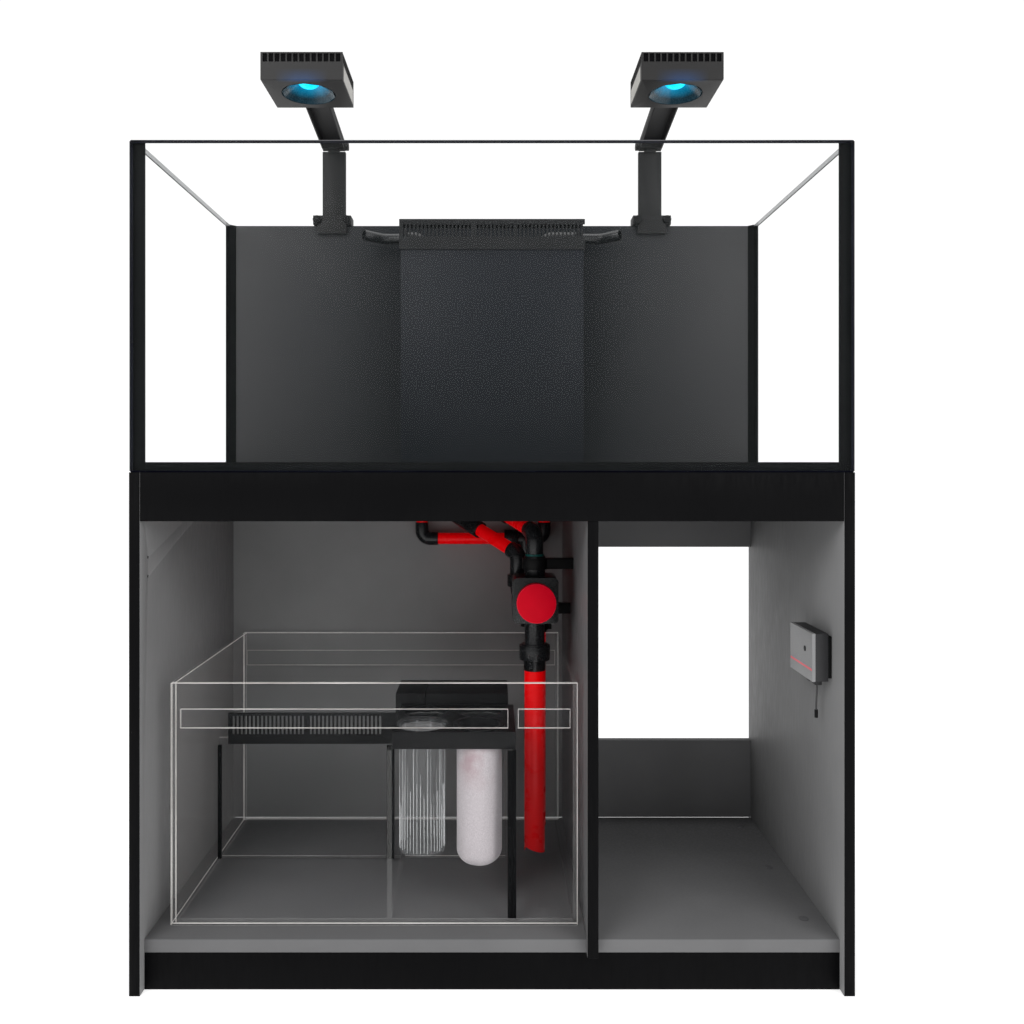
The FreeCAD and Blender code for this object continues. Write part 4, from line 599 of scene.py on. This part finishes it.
# ---------------------------------------------------------------- display tank
def tank():
    """The glass, its seams and the overflow with its nozzles."""
    # the front and back panes stop short of the side panes, so that no two faces share a plane
    skin = Vector((0, 0.3 * MM, 0))
    low, high = corners_of("tank_front_pane")
    form = bmesh.new()
    pane(form, low, high - skin, 1, 2.4)
    in_place(form, "tank_front_pane", "tank_glass", "dark_edge", "dark_edge")
    thickness = high.y - low.y
    low, high = corners_of("tank_back_pane")
    form = bmesh.new()
    pane(form, low + skin, high, 1, 1.2)
    in_place(form, "tank_back_pane", "painted_glass", "dark_edge", "dark_edge")
    low, high = corners_of("tank_side_panes")
    form = bmesh.new()
    pane(form, low, (low.x + thickness, high.y, high.z), 0, 1.2)
    pane(form, (high.x - thickness, low.y, low.z), high, 0, 1.2)
    in_place(form, "tank_side_panes", "tank_glass", "ground_edge", "dark_edge")
    refined("tank_bottom_pane", "tank_base", 0.5)
    refined("tank_seams", "silicone", 0.2, 1)
    refined("overflow_box", "box_acrylic", 0.6)
    form = copied("overflow_comb", 0.35, 1)
    low, high = corners_of("overflow_comb")
    # a dark strip stands behind the top of the comb's slots: painted shade
    inset = 8 * MM
    slab(form, (low.x + inset, high.y - 1.8 * MM, high.z - 17 * MM),
         (high.x - inset, high.y - 0.2 * MM, high.z - 1 * MM), 0, finish=1)
    in_place(form, "overflow_comb", "comb_plastic", "recess_painted_shade")
    refined("floor_bulkheads", "black_fitting", 0.8)
    refined("overflow_standpipes", "red_pipe", 0.4)
    for side in ("left", "right"):
        refined("return_nozzle_" + side, "black_fitting", 0.5)


# ---------------------------------------------------------------- plumbing
def union_nut():
    """The nut with eight grip ribs round it."""
    form = copied("union_nut", 0.8)
    low, high = corners_of("union_nut")
    middle = (low + high) / 2
    radius = (high.x - low.x) / 2
    rib, height = 3.3 * MM, high.z - low.z - 2 * MM
    for index in range(8):
        turn = math.radians(45 * index + 22.5)
        away = Vector((math.cos(turn), math.sin(turn), 0))
        drum(form, middle + away * (radius - rib - 0.1 * MM), (0, 0, 1), rib, height, 0.6, 16)
    in_place(form, "union_nut", "black_fitting")


def valve():
    """The valve's rounded body, its gate, and its knob with 24 grip ribs and a painted highlight on its
    front edge.
    """
    refined("valve_body", "black_fitting", 1.8, 3)
    refined("valve_gate", "black_plastic", 0.4)
    form = copied("valve_knob", 1.0)
    low, high = corners_of("valve_knob")
    middle = (low + high) / 2
    radius = (high.x - low.x) / 2
    hub = Vector((middle.x, low.y + 6 * MM, middle.z))
    rib, width = 1.5 * MM, 9 * MM
    for index in range(24):
        turn = math.radians(15 * index)
        away = Vector((math.cos(turn), 0, math.sin(turn)))
        drum(form, hub + away * (radius - rib - 0.1 * MM), (0, 1, 0), rib, width, 0.3, 10)
    # the knob's front bevel is painted brighter: painted highlight
    for face in form.faces:
        if -0.98 < face.normal.y < -0.2 and face.calc_center_median().y < low.y + 3 * MM:
            face.material_index = 1
    in_place(form, "valve_knob", "red_knob", "knob_painted_highlight")


def plumbing():
    """The drain and the return line in the cabinet."""
    for node, finish, width in (
            ("drain_fittings", "black_fitting", 0.8), ("drain_seal_ring", "teal_rubber", 0.5),
            ("drain_cross_pipes", "red_pipe", 0.4), ("main_downpipe", "red_pipe", 0.6),
            ("return_fittings", "black_fitting", 0.8), ("return_pipes", "red_pipe", 0.4),
            ("pipe_clips", "black_plastic", 1.0)):
        refined(node, finish, width)
    union_nut()
    valve()


# ---------------------------------------------------------------- sump
BIG_FACE = 0.03     # square metres: only a pane's main faces are larger
STRAIGHT = 0.95     # a bevel's faces have no normal part as large as this


def is_bevel(face):
    """Whether a face belongs to an eased edge."""
    return max(abs(part) for part in face.normal) < STRAIGHT


def sump():
    """The glass, with a painted highlight glowing on many of its edges, then the filters in it."""
    low, high = corners_of("sump_walls")
    base_low, base_high = corners_of("sump_bottom_pane")
    skin = 0.3 * MM     # between panes, so that no two faces share a plane
    form = bmesh.new()
    # the bevels of the front, back and left panes take the glowing edge, a painted highlight; the right
    # pane's are dim
    pane(form, low, (high.x, base_low.y - skin, high.z), 1, 1.1)
    pane(form, (low.x, base_high.y + skin, low.z), high, 1, 1.1)
    pane(form, (low.x, base_low.y, low.z), (base_low.x - skin, base_high.y, high.z), 0, 1.0)
    for face in form.faces:
        if abs(face.normal.x) > 0.9 and low.x - skin < face.calc_center_median().x < base_low.x:
            face.material_index = 3 if face.calc_area() > BIG_FACE else face.material_index
    pane(form, (base_high.x + skin, base_low.y, low.z), (high.x, base_high.y, high.z), 0, 1.0, 1, 4)
    in_place(form, "sump_walls", "sump_glass", "sump_edge", "edge_painted_highlight", "side_glass", "dim_edge")
    form = bmesh.new()
    pane(form, base_low, base_high, 2, 1.0, 1, 2)
    in_place(form, "sump_bottom_pane", "sump_glass", "sump_edge", "dim_edge")
    form = copied("sump_partitions", 0)
    for face in form.faces:
        middle = face.calc_center_median()
        face.material_index = 0 if face.calc_area() > BIG_FACE else 1
        if face.normal.y < -0.9 and face.calc_area() < BIG_FACE and middle.x > 0:
            face.material_index = 3
    eased(form, 0.7 * MM, 1)
    form.normal_update()
    for face in form.faces:
        middle = face.calc_center_median()
        if is_bevel(face):
            # bevels running across, towards the back, take a painted highlight; the others are dim
            across = abs(face.normal.x) < 0.1
            face.material_index = 2 if across and middle.y > base_low.y + 200 * MM else 4
            if middle.x > 0 and middle.y < base_low.y + 10 * MM:
                face.material_index = 3
    in_place(form, "sump_partitions", "sump_glass", "sump_edge", "brace_painted_highlight", "silicone", "dim_edge")
    form = copied("sump_braces", 0)
    for face in form.faces:
        face.material_index = 0 if abs(face.normal.y) > 0.9 else 1
    eased(form, 0.9 * MM, 1)
    # the braces' bevels take a painted highlight
    for face in form.faces:
        if is_bevel(face):
            face.material_index = 2
    in_place(form, "sump_braces", "sump_glass", "sump_edge", "brace_painted_highlight")
    refined("sump_edge_seals", "silicone", 0.6)
    refined("weir_comb", "black_plastic", 0.35)
    filter_tray()
    refined("tray_covers", "black_plastic", 0.8)
    refined("sock_ring", "black_plastic", 0.5)
    media_cup()
    filter_sock()


def media_cup():
    """The clear cup: upright ribs of uneven length, most of them low down, and a plain lip."""
    form = copied("media_cup", 0.4)
    for face in form.faces:
        face.material_index = 0
    low, high = corners_of("media_cup")
    middle = (low + high) / 2
    radius = (high.x - low.x) / 2 - 6 * MM      # the lip is wider than the wall
    rib, gap = 0.55 * MM, 3 * MM
    random = Random(11)
    for index in range(40):
        turn = math.radians(9 * index)
        away = Vector((math.cos(turn), math.sin(turn), 0))
        foot = Vector((middle.x, middle.y, 0)) + away * (radius - 0.1 * MM)
        tops = [low.z + random.uniform(60, 135) * MM]
        if index % 4 == 0:      # every fourth rib also has one up to the lip
            tops.append(high.z - 6 * MM)
        for top in tops:
            start = low.z + random.uniform(4, 10) * MM
            while start < top:
                end = min(top, start + random.uniform(24, 70) * MM)
                drum(form, foot + Vector((0, 0, (start + end) / 2)), (0, 0, 1), rib, end - start, 0, 5,
                     finish=1)
                start = end + gap
    in_place(form, "media_cup", "clear_plastic", "clear_rib")


def filter_tray():
    """The tray with two thin clear rims round each of its four openings, two wide and two deep."""
    form = copied("filter_tray", 0.8)
    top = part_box("filter_tray")[1][2]
    cup_low, cup_high = corners_of("media_cup")
    sock_low, sock_high = corners_of("sock_ring")
    across = [(cup_low.x + cup_high.x) / 2, (sock_low.x + sock_high.x) / 2]
    front = (cup_low.y + cup_high.y) / 2
    pitch, band = 92 * MM, 1.1 * MM
    upper, lower = (42.4 * MM, top - 0.6 * MM), (43.4 * MM, top - 14 * MM)
    for x in across:
        for y in (front, front + pitch):
            for reach, level in (upper, lower):
                rim = bmesh.ops.create_cone(form, cap_ends=False, segments=56, radius1=reach, radius2=reach,
                                            depth=band)["verts"]
                bmesh.ops.translate(form, vec=(x, y, level), verts=rim)
                for face in {face for vert in rim for face in vert.link_faces}:
                    face.material_index = 1
    in_place(form, "filter_tray", "black_plastic", "funnel_rim")


def filter_sock():
    """The felt sock: one thickness of felt hanging from its ring, with soft folds and a round foot."""
    low, high = corners_of("filter_sock")
    middle = (low + high) / 2
    radius = (high.x - low.x) / 2 - 1.2 * MM
    foot = 26 * MM      # radius of the round foot
    mouth = high.z - 0.4 * MM
    rows = 44
    straight = high.z - low.z - foot - 1.0 * MM
    profile = [(radius, mouth)]
    profile += [(radius, mouth - straight * (row + 1) / rows) for row in range(rows)]
    centre = profile[-1][1]
    for angle in range(9, 91, 9):
        turn = math.radians(angle)
        profile.append((radius - foot + foot * math.cos(turn), centre - foot * math.sin(turn)))
    sides = 72
    form = bmesh.new()
    rings = []
    for reach, level in profile:
        drop = min(1.0, max(0.0, (high.z - level) / (50 * MM)))     # no folds close to the ring
        ring = []
        for side in range(sides):
            turn = 2 * math.pi * side / sides
            wave = math.sin(5 * turn + 9 * level) + 0.6 * math.sin(9 * turn - 17 * level)
            fold = 0.35 * MM * drop * wave
            if reach < radius - 1e-6:
                fold *= max(0.0, 1 - (radius - reach) / foot)
            span = reach + fold
            ring.append(form.verts.new((middle.x + span * math.cos(turn), middle.y + span * math.sin(turn),
                                        level)))
        rings.append(ring)
    for upper, lower in zip(rings, rings[1:]):
        for side in range(sides):
            after = (side + 1) % sides
            form.faces.new((upper[side], upper[after], lower[after], lower[side]))
    tip = form.verts.new((middle.x, middle.y, rings[-1][0].co.z))
    for side in range(sides):
        form.faces.new((rings[-1][side], rings[-1][(side + 1) % sides], tip))
    bmesh.ops.recalc_face_normals(form, faces=form.faces)
    # laid flat, a rectangle as wide as the sock is round, with the felt's own area
    round_it = 2 * math.pi * radius
    length = sum(face.calc_area() for face in form.faces) / round_it
    sock = in_place(form, "filter_sock", "felt")


# ---------------------------------------------------------------- lamps
def housing(side):
    """The lamp's housing with a row of cooling slots round its top, their floors near-black as painted
    shade, and grey panels on its two sides.
    """
    node = "lamp_housing_" + side
    low, high = corners_of(node)
    form = copied(node, 0)
    border, wide, deep, near = 2.6 * MM, 8.6 * MM, 2.4 * MM, 0.1 * MM
    bottom, top = high.z - 18.5 * MM, high.z - 2.6 * MM

    def slot_starts(first, last, count):
        pitch = (last - first - 2 * border) / count
        return [first + border + pitch * index + (pitch - wide) / 2 for index in range(count)]

    slots = [((left, 0, bottom), (left + wide, 0, top)) for left in slot_starts(low.x, high.x, 13)]
    # the slot floors here and on the two sides take the near-black finish: painted shade
    for way, level in (((0, -1, 0), -low.y), ((0, 1, 0), high.y)):
        sink(form, way, slots, deep, 1, level)
    slots = [((0, front, bottom), (0, front + wide, top)) for front in slot_starts(low.y, high.y, 12)]
    panel = ((0, low.y + 14 * MM, low.z + 4 * MM), (0, high.y - 8 * MM, bottom - 3 * MM))
    for way, level in (((-1, 0, 0), -low.x), ((1, 0, 0), high.x)):
        sink(form, way, slots, deep, 1, level)
        sink(form, way, [panel], 0, 2, level)

    def on_outline(vert):
        """Whether a point lies on the outline of the housing's top or underside."""
        beside = any(abs(vert.co[axis] - corner[axis]) < near for corner in (low, high) for axis in (0, 1))
        return beside and any(abs(vert.co.z - corner.z) < near for corner in (low, high))

    rim = [edge for edge in form.edges
           if len(edge.link_faces) == 2 and edge.calc_face_angle(0) > math.radians(60)
           and all(on_outline(vert) for vert in edge.verts)]
    bmesh.ops.bevel(form, geom=rim, offset=1.5 * MM, offset_type="OFFSET", segments=3, profile=0.5,
                    affect="EDGES", clamp_overlap=True, material=-1)
    in_place(form, node, "lit_housing", "recess_painted_shade", "side_grey", smooth=20)


def reflector(side):
    """Ten flat facets round a domed lens, with an outer skirt."""
    node = "lamp_lens_" + side
    low, high = corners_of(node)
    middle = (low + high) / 2
    mouth = (high.x - low.x) / 2 - 0.4 * MM
    throat, rise = 22 * MM, high.z - 4 * MM
    lens_radius, flatten = 21.5 * MM, 0.62
    form = bmesh.new()
    facets = 10
    for index in range(facets):
        corners = []
        for reach, level in ((mouth, low.z + 0.2 * MM), (throat, rise)):
            for step in (index, index + 1):
                turn = 2 * math.pi * (step + 0.5) / facets
                corners.append(form.verts.new((middle.x + reach * math.cos(turn),
                                               middle.y + reach * math.sin(turn), level)))
        form.faces.new((corners[0], corners[1], corners[3], corners[2]))
    bmesh.ops.remove_doubles(form, verts=form.verts, dist=0.00001)
    skirt = bmesh.ops.create_cone(form, cap_ends=False, segments=60, radius1=mouth + 0.3 * MM,
                                  radius2=mouth + 0.3 * MM, depth=2.4 * MM)["verts"]
    bmesh.ops.translate(form, vec=(middle.x, middle.y, low.z + 1.3 * MM), verts=skirt)
    dome = bmesh.ops.create_uvsphere(form, u_segments=40, v_segments=20, radius=lens_radius)["verts"]
    bmesh.ops.scale(form, vec=(1, 1, flatten), verts=dome)
    bmesh.ops.translate(form, vec=(middle.x, middle.y, rise + 1 * MM), verts=dome)
    upper = [vert for vert in dome if vert.co.z > rise + 1.5 * MM]
    bmesh.ops.delete(form, geom=upper, context="VERTS")
    for vert in dome:
        if vert.is_valid:
            for face in vert.link_faces:
                face.material_index = 1
    in_place(form, node, "lit_reflector", "lit_lens")


def lamp_arm(side):
    """The arm, its flat underside a little paler: painted light."""
    form = copied("lamp_arm_" + side, 1.2)
    underside = 0.002       # square metres
    # the underside takes the paler copy: painted light
    for face in form.faces:
        if face.normal.z < -0.8 and face.calc_area() > underside:
            face.material_index = 1
    in_place(form, "lamp_arm_" + side, "lamp_metal", "underside_painted_light")


def lamps():
    """Both lamps; the clamp's lip inside the tank has the back pane's finish."""
    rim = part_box("tank_back_pane")[1][2]
    inside = 276 * MM
    for side in ("left", "right"):
        form = copied("lamp_clamp_" + side, 2.5, 3)
        for face in form.faces:
            middle = face.calc_center_median()
            if middle.z < rim - 1 * MM and middle.y < inside:
                face.material_index = 1
        in_place(form, "lamp_clamp_" + side, "lamp_metal", "painted_glass")
        refined("lamp_post_" + side, "lamp_metal", 1.2)
        lamp_arm(side)
        housing(side)
        reflector(side)
    refined("lamp_clamp_screws", "black_plastic", 0.8)


# ---------------------------------------------------------------- controller
def controller():
    """The controller with a red stripe across its cover, and its lead."""
    refined("controller_bracket", "black_plastic", 1.0)
    refined("controller_case", "case_grey", 1.2)
    low, high = corners_of("controller_cover")
    form = copied("controller_cover", 1.2)
    below_top, half, border = 0.76, 2 * MM, 1.3 * MM
    level = high.z - (high.z - low.z) * below_top
    stripe = ((0, low.y + border, level - half), (0, high.y - border, level + half))
    sink(form, (-1, 0, 0), [stripe], 0, 1)
    in_place(form, "controller_cover", "cover_grey", "stripe_red", smooth=20)
    refined("controller_button", "black_plastic", 0.4)
    lead()


def lead():
    """The short lead that hangs from the controller's second socket, with its connector."""
    connector = refined("lead_connector", "black_plastic", 0.5)
    curve = bpy.data.curves.new("controller_lead_cord", "CURVE")
    curve.dimensions = "3D"
    spline = curve.splines.new("NURBS")
    points = ((566.0, -203.5, 496.0), (566.0, -203.5, 482.0),
              (565.1, -202.3, 467.0), (565.6, -200.9, 451.0))
    spline.points.add(len(points) - 1)
    for point, place in zip(spline.points, points):
        point.co = (*(value * MM for value in place), 1)
    spline.order_u = 3
    spline.use_endpoint_u = True
    spline.resolution_u = 16
    curve.bevel_depth = 1.5 * MM
    curve.bevel_resolution = 6
    curve.use_fill_caps = True
    cord = bpy.data.objects.new("controller_lead_cord", curve)
    bpy.context.scene.collection.objects.link(cord)
    curve.materials.append(FINISHES["lead_rubber"])
    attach(cord, "stand")
    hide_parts("controller_lead")


make_finishes()
studio()
cabinet()
tank()
plumbing()
sump()
lamps()
controller()
